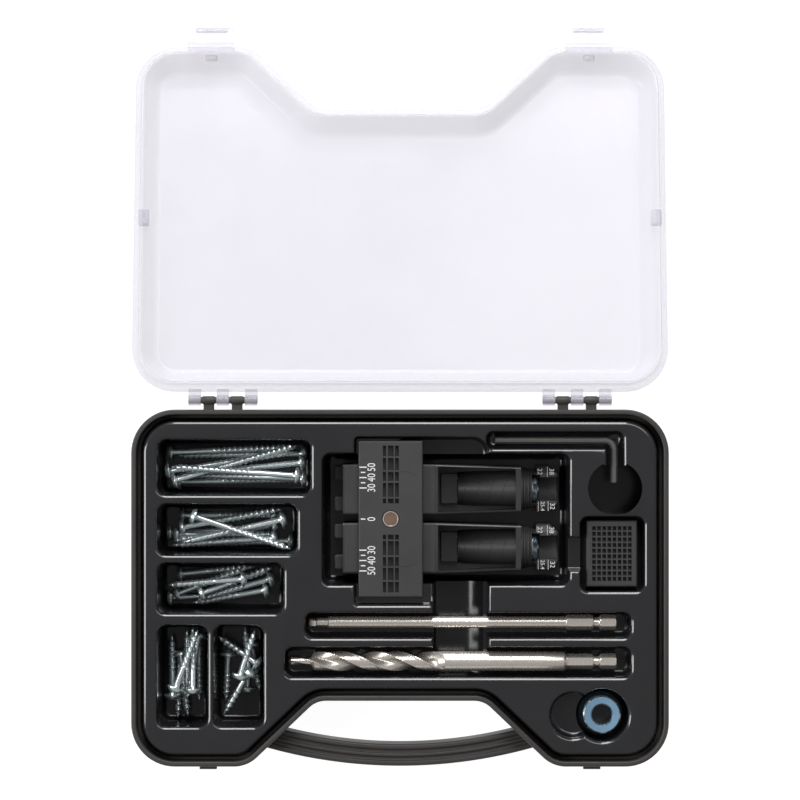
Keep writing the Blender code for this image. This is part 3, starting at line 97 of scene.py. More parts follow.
def outline(corners: Array, offset: float = 0.0, steps: int = 14) -> Array:
    """Samples a rounded polygon, moved inwards by an offset.

    A corner moves along the sum of its two edge normals, scaled so that both edges shift by the offset. Its arc keeps
    its centre, so a left turn's radius shrinks by the offset and a right turn's grows. The arc's points are the centre
    plus the radius at evenly spaced angles between the two edges' tangent points.

    Args:
        corners: Rows of x, y and radius, counter-clockwise.
        offset: Distance inwards, negative to grow.
        steps: Segments in each corner's arc.

    Returns:
        The closed outline's points as rows of x and y.
    """
    spots = corners[:, :2]
    arriving = unit(spots - np.roll(spots, 1, axis=0))
    leaving = np.roll(arriving, -1, axis=0)
    normal_in = np.stack([-arriving[:, 1], arriving[:, 0]], 1)
    normal_out = np.stack([-leaving[:, 1], leaving[:, 0]], 1)
    dot = np.sum(normal_in * normal_out, axis=1, keepdims=True)
    spots = spots + (normal_in + normal_out) * offset / (1 + dot)
    turn = arriving[:, 0] * leaving[:, 1] - arriving[:, 1] * leaving[:, 0]
    radius = np.maximum(np.where(turn > 0, corners[:, 2] - offset, corners[:, 2] + offset), LEAST_RADIUS)
    half = np.arccos(np.clip(np.sum(-arriving * leaving, axis=1), -1, 1)) / 2
    centre = spots + unit(leaving - arriving) * (radius / np.sin(half))[:, None]
    reach = (radius / np.tan(half))[:, None]
    start = spots - arriving * reach - centre
    end = spots + leaving * reach - centre
    first = np.arctan2(start[:, 1], start[:, 0])
    sweep = (np.arctan2(end[:, 1], end[:, 0]) - first + np.pi) % (2 * np.pi) - np.pi
    angles = first[:, None] + sweep[:, None] * np.linspace(0, 1, steps + 1)
    points = centre[:, None] + radius[:, None, None] * np.stack([np.cos(angles), np.sin(angles)], -1)
    return points.reshape(-1, 2)


def profile(points: Sequence[tuple[float, float, float]], steps: int = 4) -> Array:
    """An open path of (across, up, radius) points with an arc at each inner corner, by the same rule as an outline."""
    rows = np.array(points, float)
    made = [rows[:1, :2]]
    for before, here, after in zip(rows, rows[1:], rows[2:]):
        back, ahead = unit(before[:2] - here[:2]), unit(after[:2] - here[:2])
        half = np.arccos(np.clip(back @ ahead, -1, 1)) / 2
        if here[2] <= 0 or half > 1.55:
            made.append(here[None, :2])
            continue
        centre = here[:2] + unit(back + ahead) * here[2] / np.sin(half)
        start = here[:2] + back * here[2] / np.tan(half) - centre
        end = here[:2] + ahead * here[2] / np.tan(half) - centre
        share = np.linspace(0, 1, steps + 1)[:, None]
        made.append(centre + unit(start * (1 - share) + end * share) * here[2])
    made.append(rows[-1:, :2])
    return np.concatenate(made)


def box_corners(left: float, right: float, front: float, back: float, radius: float) -> Array:
    """A rectangle's corners as rows of x, y and radius, counter-clockwise."""
    return np.array([(left, front, radius), (right, front, radius), (right, back, radius), (left, back, radius)])


def piece(
    name: str, points: Array, faces: list, finish: bpy.types.Material, body: Body | str,
    nodes: Iterable[str] = (), sharp: float = SHARP_ANGLE,
) -> bpy.types.Object:
    """Makes a mesh object from points and faces, shades it, and lets it ride on a body.

    Args:
        name: The piece's name.
        faces: Tuples of point numbers, turning counter-clockwise seen from outside.
        finish: The material.
        body: The body that it moves with.
        nodes: The solids that it stands for.
        sharp: Edges that turn more than this many degrees stay sharp.

    Returns:
        The new object, at the origin.
    """
    mesh = bpy.data.meshes.new(name)
    mesh.from_pydata(points.tolist(), [], faces)
    mesh.materials.append(finish)
    mesh.shade_smooth()
    mesh.set_sharp_from_angle(angle=math.radians(sharp))
    made = bpy.data.objects.new(name, mesh)
    bpy.context.scene.collection.objects.link(made)
    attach(made, body.value if isinstance(body, Body) else body)
    if nodes:
        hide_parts(*nodes)
    LOG.info("%s: %d faces", name, len(mesh.polygons))
    return made


def ring_faces(count: int, around: int, closed: bool = False, capped: bool = True) -> list:
    """Faces of a surface through rings of points: quads between neighbours, and a cap at each open end.

    Quad (i, j) joins ring i's points j and j + 1 to the same points of ring i + 1, all counted modulo the ring.
    """
    last = count if closed else count - 1
    ring, step = np.meshgrid(np.arange(last), np.arange(around), indexing="ij")
    after, above = (step + 1) % around, (ring + 1) % count
    quads = np.stack([ring * around + step, ring * around + after, above * around + after, above * around + step], -1)
    faces = quads.reshape(-1, 4).tolist()
    if capped and not closed:
        faces.append(list(range(around))[::-1])
        faces.append(list(range((count - 1) * around, count * around)))
    return faces


def carried(corners: Array, path: Array, steps: int = 14) -> Array:
    """Rings of a profile carried round an outline: each (inset, height) of the path gives the outline at that inset."""
    rings = [np.column_stack([outline(corners, inset, steps), np.full(len(corners) * (steps + 1), height)])
             for inset, height in path]
    return np.stack(rings)


def turned(
    along: Array, radius: Callable[[Array, Array], Array], start: Sequence[float], direction: Sequence[float],
    sides: int,
) -> Array:
    """Rings round a straight axis.

    The point at distance s and angle a is start + s * direction + radius(s, a) * (cos a * side + sin a * top), where
    side and top are square to the direction and to each other.

    Returns:
        An array of (distances, sides, 3).
    """
    axis = unit(np.asarray(direction, float))
    helper = np.array([0, 0, 1.0]) if abs(axis[2]) < 0.9 else np.array([1.0, 0, 0])
    side = unit(np.cross(helper, axis))
    top = np.cross(axis, side)
    angle = np.linspace(0, 2 * np.pi, sides, endpoint=False)
    distance, turn = np.meshgrid(along, angle, indexing="ij")
    reach = radius(distance, turn)[..., None]
    return np.asarray(start) + distance[..., None] * axis + reach * (
        np.cos(turn)[..., None] * side + np.sin(turn)[..., None] * top)


def lathed(stations: Sequence[tuple[float, float]], start: Sequence[float], direction: Sequence[float],
           sides: int) -> Array:
    """Rings turned round an axis from (distance, radius) stations, in their own order, so a loop may double back."""
    rows = np.array(stations, float)
    return turned(rows[:, 0], lambda distance, turn: np.broadcast_to(rows[:, 1:], distance.shape), start, direction,
                  sides)


def flats(across: float, count: int, turn: Array) -> Array:
    """A regular polygon's radius at an angle: half its width over the cosine of the angle from the nearest flat."""
    wedge = 2 * np.pi / count
    return across / 2 / np.cos((turn % wedge) - wedge / 2)


def steps_at(low: float, high: float, spacing: float, edges: Iterable[float] = ()) -> Array:
    """Sample places from low to high, even but for a close pair either side of each edge, for a crisp step there."""
    even = np.linspace(low, high, max(2, int(round((high - low) / spacing)) + 1))
    inner = [edge for edge in edges if low < edge < high]
    pairs = np.array([edge + side for edge in inner for side in (-STEP_HALF_WIDTH, STEP_HALF_WIDTH)])
    if len(pairs):
        gap = np.abs(even[:, None] - pairs[None]).min(axis=1)
        even = even[(gap > STEP_CLEARANCE) | (even == low) | (even == high)]
    return np.unique(np.concatenate([even, pairs]))


def rim_numbers(rows: int, columns: int) -> Array:
    """The numbers of a grid's outermost points, once round."""
    return np.concatenate([
        np.arange(rows) * columns, (rows - 1) * columns + np.arange(1, columns),
        (np.arange(rows - 2, -1, -1) + 1) * columns - 1, np.arange(columns - 2, 0, -1),
    ])


def relief_faces(rows: int, columns: int) -> list:
    """Faces of a height surface on a grid, with a skirt to a rim of base points and a flat underside."""
    row, column = np.meshgrid(np.arange(rows - 1), np.arange(columns - 1), indexing="ij")
    here = row * columns + column
    faces = np.stack([here, here + columns, here + columns + 1, here + 1], -1).reshape(-1, 4).tolist()
    rim = rim_numbers(rows, columns)
    base = rows * columns + np.arange(len(rim))
    faces += np.stack([rim, base, np.roll(base, -1), np.roll(rim, -1)], -1).tolist()
    faces.append(base[::-1].tolist())
    return faces


def relief(across: Array, along: Array, heights: Array, bottom: float) -> tuple[Array, list]:
    """A solid under a height surface: grid points at (across, along, height), standing on a flat bottom."""
    rows, columns = heights.shape
    top = np.stack([across, along, heights], -1).reshape(-1, 3)
    rim = rim_numbers(rows, columns)
    base = top[rim].copy()
    base[:, 2] = bottom
    return np.concatenate([top, base]), relief_faces(rows, columns)


def side_name(sign: int) -> str:
    return "left" if sign < 0 else "right"


def ramp(value: Array, low: float, high: float) -> Array:
    """Zero below low, one above high, and a straight rise between."""
    return np.clip((value - low) / (high - low), 0, 1)


# ---------------------------------------------------------------- finishes


@dataclass(frozen=True)
class Grain:
    """A fine surface relief: how many bumps to a metre, how deep they look, and how much they stir the roughness."""

    scale: float = 900.0
    depth: float = 0.1
    stir: float = 0.08


def grain_group() -> bpy.types.NodeTree:
    """The shared grain: two layers of noise on the piece's own coordinates, out as a height and as patches."""
    tree = bpy.data.node_groups.new("surface_grain", "ShaderNodeTree")
    tree.interface.new_socket("Scale", in_out="INPUT", socket_type="NodeSocketFloat")
    tree.interface.new_socket("Height", in_out="OUTPUT", socket_type="NodeSocketFloat")
    tree.interface.new_socket("Patches", in_out="OUTPUT", socket_type="NodeSocketFloat")
    entry, leave = tree.nodes.new("NodeGroupInput"), tree.nodes.new("NodeGroupOutput")
    place = tree.nodes.new("ShaderNodeTexCoord")
    fine, broad = tree.nodes.new("ShaderNodeTexNoise"), tree.nodes.new("ShaderNodeTexNoise")
    fine.inputs["Detail"].default_value = 3
    broad.inputs["Scale"].default_value = PATCHES_PER_METRE
    broad.inputs["Detail"].default_value = 4
    for noise in (fine, broad):
        tree.links.new(place.outputs["Object"], noise.inputs["Vector"])
    tree.links.new(entry.outputs["Scale"], fine.inputs["Scale"])
    tree.links.new(fine.outputs["Fac"], leave.inputs["Height"])
    tree.links.new(broad.outputs["Fac"], leave.inputs["Patches"])
    return tree


def brushed_group() -> bpy.types.NodeTree:
    """The shared turning marks: noise stretched round the piece's length, out as a height and as a value."""
    tree = bpy.data.node_groups.new("turning_marks", "ShaderNodeTree")
    tree.interface.new_socket("Along", in_out="INPUT", socket_type="NodeSocketFloat")
    tree.interface.new_socket("Across", in_out="INPUT", socket_type="NodeSocketFloat")
    tree.interface.new_socket("Marks", in_out="OUTPUT", socket_type="NodeSocketFloat")
    entry, leave = tree.nodes.new("NodeGroupInput"), tree.nodes.new("NodeGroupOutput")
    place = tree.nodes.new("ShaderNodeTexCoord")
    scale = tree.nodes.new("ShaderNodeCombineXYZ")
    stretch = tree.nodes.new("ShaderNodeVectorMath")
    stretch.operation = "MULTIPLY"
    noise = tree.nodes.new("ShaderNodeTexNoise")
    noise.inputs["Scale"].default_value = 1
    tree.links.new(entry.outputs["Along"], scale.inputs["X"])
    tree.links.new(entry.outputs["Across"], scale.inputs["Y"])
    tree.links.new(entry.outputs["Across"], scale.inputs["Z"])
    tree.links.new(place.outputs["Object"], stretch.inputs[0])
    tree.links.new(scale.outputs["Vector"], stretch.inputs[1])
    tree.links.new(stretch.outputs["Vector"], noise.inputs["Vector"])
    tree.links.new(noise.outputs["Fac"], leave.inputs["Marks"])
    return tree


@dataclass(frozen=True)
class Finish:
    """One finish: its colour and how it varies, its gloss, and its grain."""

    name: str
    slot: str
    colour: tuple[float, float, float]
    roughness: float
    metallic: float = 0.0
    vary: float = 0.15
    grain: Grain = field(default_factory=Grain)
    marks: tuple[float, float] | None = None
    coat: float = 0.0
    coat_roughness: float = 0.08
    specular: float = 0.5
    alpha: float = 1.0
    coat_fades: tuple[float, float] | None = None

    def build(self, grain: bpy.types.NodeTree, brushed: bpy.types.NodeTree) -> bpy.types.Material:
        """The material: patches shift the colour and roughness a little, and grain or turning marks raise the surface.

        Args:
            grain: The shared grain group.
            brushed: The shared turning-marks group.

        Returns:
            The new material.
        """
        made = bpy.data.materials.new(self.name)
        made.use_nodes = True
        tree = made.node_tree
        shader = tree.nodes["Principled BSDF"]
        shader.inputs["Metallic"].default_value = self.metallic
        shader.inputs["Coat Weight"].default_value = self.coat
        shader.inputs["Coat Roughness"].default_value = self.coat_roughness
        shader.inputs["Specular IOR Level"].default_value = self.specular
        shader.inputs["Alpha"].default_value = self.alpha
        relief_node = tree.nodes.new("ShaderNodeGroup")
        relief_node.node_tree = grain
        relief_node.inputs["Scale"].default_value = self.grain.scale
        colours = tree.nodes.new("ShaderNodeMix")
        colours.data_type = "RGBA"
        colours.inputs["A"].default_value = (*[c * (1 - self.vary) for c in self.colour], 1)
        colours.inputs["B"].default_value = (*[min(1.0, c * (1 + self.vary)) for c in self.colour], 1)
        tree.links.new(relief_node.outputs["Patches"], colours.inputs["Factor"])
        tree.links.new(colours.outputs["Result"], shader.inputs["Base Color"])
        rough = tree.nodes.new("ShaderNodeMapRange")
        rough.inputs["From Min"].default_value, rough.inputs["From Max"].default_value = NOISE_RANGE
        rough.inputs["To Min"].default_value = max(0.02, self.roughness - self.grain.stir)
        rough.inputs["To Max"].default_value = min(1.0, self.roughness + self.grain.stir)
        bump = tree.nodes.new("ShaderNodeBump")
        bump.inputs["Distance"].default_value = BUMP_HEIGHT
        bump.inputs["Strength"].default_value = self.grain.depth
        if self.marks:
            turning = tree.nodes.new("ShaderNodeGroup")
            turning.node_tree = brushed
            turning.inputs["Along"].default_value, turning.inputs["Across"].default_value = self.marks
            tree.links.new(turning.outputs["Marks"], rough.inputs["Value"])
            tree.links.new(turning.outputs["Marks"], bump.inputs["Height"])
        else:
            tree.links.new(relief_node.outputs["Patches"], rough.inputs["Value"])
            tree.links.new(relief_node.outputs["Height"], bump.inputs["Height"])
        if self.coat_fades:
            self.fade_coat(tree, shader)
        tree.links.new(rough.outputs["Result"], shader.inputs["Roughness"])
        tree.links.new(bump.outputs["Normal"], shader.inputs["Normal"])
        return made

    def fade_coat(self, tree: bpy.types.NodeTree, shader: bpy.types.Node) -> None:
        """Lets the coat grow with height, so that deep hollows reflect less and stay darker: painted shade on the
        hollows' floors.
        """
        place, split = tree.nodes.new("ShaderNodeTexCoord"), tree.nodes.new("ShaderNodeSeparateXYZ")
        fade = tree.nodes.new("ShaderNodeMapRange")
        fade.inputs["From Min"].default_value, fade.inputs["From Max"].default_value = self.coat_fades
        fade.inputs["To Max"].default_value = self.coat
        tree.links.new(place.outputs["Object"], split.inputs["Vector"])
        tree.links.new(split.outputs["Z"], fade.inputs["Value"])
        tree.links.new(fade.outputs["Result"], shader.inputs["Coat Weight"])


class Surface(Enum):
    CASE = Finish("case_black", "case_black", (0.044, 0.041, 0.039), 0.48, grain=Grain(2600, 0.35, 0.06), specular=0.4)
    # The tray's coat fades away towards the floors of its deep hollows, which darkens them: painted shade.
    TRAY = Finish("tray_black", "tray_black", (0.011, 0.011, 0.013), 0.2, grain=Grain(260, 0.05, 0.05), coat=1.0,
                  specular=0.45, coat_fades=(28 * MM, 39 * MM))
    LID = Finish("lid_clear", "lid_clear", (0.56, 0.54, 0.62), 0.13, vary=0.03, grain=Grain(3000, 0.05, 0.03),
                 alpha=0.36)
    PLATE = Finish("plate_grey", "guide_grey", (0.036, 0.034, 0.036), 0.52, grain=Grain(2200, 0.25, 0.06))
    # A lighter copy of the plate's grey plastic, for the edge stops that lie deep in shade: painted light.
    STOP = Finish("stop_grey_painted_light", "guide_grey", (0.1, 0.098, 0.1), 0.45, grain=Grain(2200, 0.2, 0.06))
    GUIDE = Finish("guide_black", "guide_black", (0.034, 0.032, 0.034), 0.34, grain=Grain(2000, 0.16, 0.08))
    STEEL = Finish("ground_steel", "steel", (0.83, 0.77, 0.7), 0.26, metallic=0.78, marks=(1800.0, 120.0), vary=0.06,
                   grain=Grain(900, 0.03, 0.04))
    BUSH = Finish("bush_steel", "steel", (0.72, 0.86, 0.94), 0.25, metallic=1.0, marks=(3000.0, 200.0), vary=0.06)
    MAGNET = Finish("magnet_plating", "magnet", (0.36, 0.24, 0.18), 0.34, metallic=1.0, grain=Grain(1500, 0.12, 0.08))
    BLUE = Finish("blue_anodising", "blue_steel", (0.3, 0.52, 0.74), 0.38, metallic=0.8, grain=Grain(1800, 0.1, 0.06))
    KEY = Finish("key_black", "key_black", (0.115, 0.107, 0.105), 0.5, metallic=0.5, grain=Grain(1600, 0.1, 0.08))
    RUBBER = Finish("pad_rubber", "rubber", (0.033, 0.033, 0.034), 0.6, grain=Grain(2400, 0.3, 0.06))
    ZINC = Finish("bright_zinc", "zinc", (0.79, 0.93, 0.96), 0.24, metallic=0.8, vary=0.2,
                  grain=Grain(1400, 0.06, 0.06))
    INK = Finish("white_ink", "guide_grey", (0.75, 0.75, 0.75), 0.6, vary=0.06, grain=Grain(3000, 0.1, 0.05))


class Finishes:
    def __init__(self) -> None:
        """Builds the shared groups, then every material."""
        grain, brushed = grain_group(), brushed_group()
        self.made = {surface: surface.value.build(grain, brushed) for surface in Surface}

    def add(
        self, name: str, points: Array, faces: list, surface: Surface, body: Body | str, nodes: Iterable[str] = (),
        sharp: float = SHARP_ANGLE,
    ) -> bpy.types.Object:
        return piece(name, points, faces, self.made[surface], body, nodes, sharp)

    def rings(
        self, name: str, rings: Array, surface: Surface, body: Body | str, nodes: Iterable[str] = (),
        closed: bool = False, sharp: float = SHARP_ANGLE, capped: bool = True,
    ) -> bpy.types.Object:
        """Makes a piece from rings of points."""
        faces = ring_faces(rings.shape[0], rings.shape[1], closed, capped)
        return self.add(name, rings.reshape(-1, 3), faces, surface, body, nodes, sharp)


# ---------------------------------------------------------------- the case


@dataclass
class CaseShape:
    """The outline that the base, the lid and the tray share, placed by the base's own box."""

    width: float = 259 * MM
    depth: float = 172 * MM
    corner: float = 21 * MM
    recess_top: float = 80.6 * MM
    recess_mouth: float = 147.2 * MM
    recess_depth: float = 31.7 * MM
    mouth_radius: float = 16 * MM
    top_radius: float = 11.5 * MM
    rim_top: float = 42 * MM
    hinge_offset: float = 4.5 * MM
    hinge_spread: float = 170.5 * MM
    knuckle_pitch: float = 6.8 * MM
    knuckle_width: float = 6.1 * MM
    latch_spread: float = 185 * MM

    def corners(self) -> Array:
        """The rounded rectangle with its sloping recess at the front, as rows of x, y and radius."""
        half_width, half_depth = self.width / 2, self.depth / 2
        recess = -half_depth + self.recess_depth
        return np.array([
            (half_width, -half_depth, self.corner), (half_width, half_depth, self.corner),
            (-half_width, half_depth, self.corner), (-half_width, -half_depth, self.corner),
            (-self.recess_mouth / 2, -half_depth, self.mouth_radius), (-self.recess_top / 2, recess, self.top_radius),
            (self.recess_top / 2, recess, self.top_radius), (self.recess_mouth / 2, -half_depth, self.mouth_radius),
        ])

    def hinge_line(self) -> Array:
        """A point on the hinges' common line."""
        return np.array([0, self.depth / 2 + self.hinge_offset, self.rim_top])


@dataclass
class Base:
    """The moulded tub: walls, overhanging rim, hinge rods on their stems, and the front catches."""

    shape: CaseShape
    finishes: Finishes
    rim_width: float = 2.4 * MM
    rim_height: float = 7 * MM
    overhang: float = 4.2 * MM
    shelf_drop: float = 6 * MM
    wall: float = 2.4 * MM
    draft: float = 1.4 * MM
    foot: float = 1.6 * MM
    floor: float = 2.2 * MM
    rod_radius: float = 1.6 * MM
    catch_drop: float = 2.6 * MM
    catch_height: float = 1.8 * MM
    catch_reach: float = 1.5 * MM
    catch_width: float = 8.4 * MM
    rod_ease: float = 0.3 * MM
    rod_cap: float = 0.2 * MM
    rod_sides: int = 28
    stem_half: float = 2.6 * MM
    stem_into_wall: float = 1.2 * MM
    boss_length: float = 6 * MM
    boss_radius: float = 1.98 * MM
    boss_end: float = 1.8 * MM
    boss_bore: float = 1.7 * MM
    boss_ease: float = 0.4 * MM

    def build(self) -> None:
        """Builds every piece of the base."""
        self.tub()
        for sign in (-1, 1):
            self.hinge(sign)
            self.catch(sign)

    def tub(self) -> None:
        """The shell: a wall's section carried round the outline, from the foot over the rim and down to the floor."""
        top, side = self.shape.rim_top, self.overhang
        inner = side + self.wall
        path = profile([
            (side + self.draft + self.foot, 0, 0), (side + self.draft, self.foot, 0.8 * MM),
            (side, top - self.rim_height - side / 2, 1 * MM), (0, top - self.rim_height, 0.6 * MM),
            (0, top, 0.7 * MM), (self.rim_width, top, 0.6 * MM), (self.rim_width, top - self.shelf_drop, 0.3 * MM),
            (inner, top - self.shelf_drop, 0.3 * MM), (inner + self.draft, self.floor, 0),
        ])
        path = path[(path[:, 0] < self.rim_width + 0.01 * MM) | (path[:, 1] < top - self.rim_height)]
        rings = carried(self.shape.corners(), path)
        self.add("base_shell", rings, 50)

    def add(self, name: str, rings: Array, sharp: float = SHARP_ANGLE) -> None:
        """Makes one piece of the base."""
        self.finishes.rings(name, rings, Surface.CASE, Body.CASE, ["case_base"], sharp=sharp)

    def hinge(self, sign: int) -> None:
        """One hinge's rod, and the two stems with a boss each that carry it."""
        line = self.shape.hinge_line()
        length = 4 * self.shape.knuckle_pitch + self.shape.knuckle_width
        centre = sign * self.shape.hinge_spread / 2
        side, radius, ease = side_name(sign), self.rod_radius, self.rod_ease
        stations = [(0, self.rod_cap), (0, radius - ease), (ease, radius), (length - ease, radius),
                    (length, radius - ease), (length, self.rod_cap)]
        start = line + [centre - length / 2, 0, 0]
        self.add(f"hinge_rod_{side}", lathed(stations, start, RIGHTWARDS, self.rod_sides))
        path = profile([(0, line[2] - radius, 0), (0, line[2] - 0.15 * MM, 0.3 * MM), (1 * MM, line[2] - 0.1 * MM, 0)])
        far = self.boss_length - self.boss_ease
        boss = [(0, self.boss_bore), (0, self.boss_end), (self.boss_ease, self.boss_radius), (far, self.boss_radius),
                (self.boss_length, self.boss_end), (self.boss_length, self.boss_bore)]
        for number in (-1, 1):
            middle = centre + number * self.shape.knuckle_pitch
            corners = box_corners(middle - self.stem_half, middle + self.stem_half,
                                  self.shape.depth / 2 - self.stem_into_wall, line[1], 0.5 * MM)
            self.add(f"hinge_stem_{side}_{number + 2}", carried(corners, path, 4))
            start = [middle - self.boss_length / 2, line[1], line[2]]
            self.add(f"hinge_boss_{side}_{number + 2}", lathed(boss, start, RIGHTWARDS, self.rod_sides))

    def catch(self, sign: int) -> None:
        """One wedge on the front of the rim, under which the latch's lip hooks."""
        middle = sign * self.shape.latch_spread / 2
        front = -self.shape.depth / 2
        top = self.shape.rim_top - self.catch_drop
        corners = box_corners(middle - self.catch_width / 2, middle + self.catch_width / 2, front - self.catch_reach,
                              front + 1 * MM, 0.4 * MM)
        path = profile([(0.3 * MM, top - self.catch_height, 0), (0, top - self.catch_height + 0.3 * MM, 0.2 * MM),
                        (0, top - 0.5 * MM, 0.4 * MM), (0.5 * MM, top, 0)])
        side = side_name(sign)
        self.add(f"catch_{side}", carried(corners, path, 4))


@dataclass
class Handle:
    """The arched carry handle: a bar with raised edges and grooves, whose ends run into the recess's slopes."""

    shape: CaseShape
    finishes: Finishes
    inner_radius: float = 229 * MM
    width: float = 10.6 * MM
    height: float = 16 * MM
    bottom: float = 15 * MM
    proud: float = 0.8 * MM
    overhang: float = 4.2 * MM
    groove: float = 1.4 * MM
    ridge_drop: float = 0.3 * MM
    ease: float = 0.4 * MM
    stations: int = 97

    def build(self) -> None:
        """Carries the bar's section along the arc, its last rings cut where the bar meets the wall."""
        centre = self.inner_radius + self.width - self.shape.depth / 2 - self.proud
        top = self.bottom + self.height
        w, ease = self.width, self.ease
        low, ridge = top - self.groove, top - self.ridge_drop
        section = profile([
            (0, self.bottom, 0), (w, self.bottom, 1 * MM), (w, top, 1.1 * MM), (w * 0.78, top, ease),
            (w * 0.74, low, ease), (w * 0.6, low, ease), (w * 0.56, ridge, 0.5 * MM), (w * 0.44, ridge, 0.5 * MM),
            (w * 0.4, low, ease), (w * 0.26, low, ease), (w * 0.22, top, ease), (0, top, 1.1 * MM),
            (0, self.bottom + 0.5 * MM, 0),
        ])
        reach = np.linspace(-1, 1, self.stations)
        radius = self.inner_radius + section[:, 0]
        half = self.half_angle(radius, centre)
        angle = reach[:, None] * half[None]
        points = np.stack([radius * np.sin(angle), centre - radius * np.cos(angle),
                           np.broadcast_to(section[:, 1], angle.shape)], -1)
        self.finishes.rings("handle_bar", points, Surface.CASE, Body.CASE, ["carry_handle"], sharp=40)

    def half_angle(self, radius: Array, centre: float) -> Array:
        """The angle at which an arc of each radius reaches the recess's sloping wall.

        The slope's line is x = a + b * (y - front), and the arc's point is (r sin t, centre - r cos t). The angle where
        they meet is found by stepping t to asin((a + b * (y - front)) / r) until it settles.
        """
        front = -self.shape.depth / 2
        lean = -(self.shape.recess_mouth - self.shape.recess_top) / 2 / self.shape.recess_depth
        start = self.shape.recess_mouth / 2 + self.overhang * 1.3
        angle = np.full_like(radius, 0.25)
        for _ in range(40):
            across = centre - radius * np.cos(angle)
            angle = np.arcsin(np.clip((start + lean * (across - front)) / radius, -1, 1))
        return angle


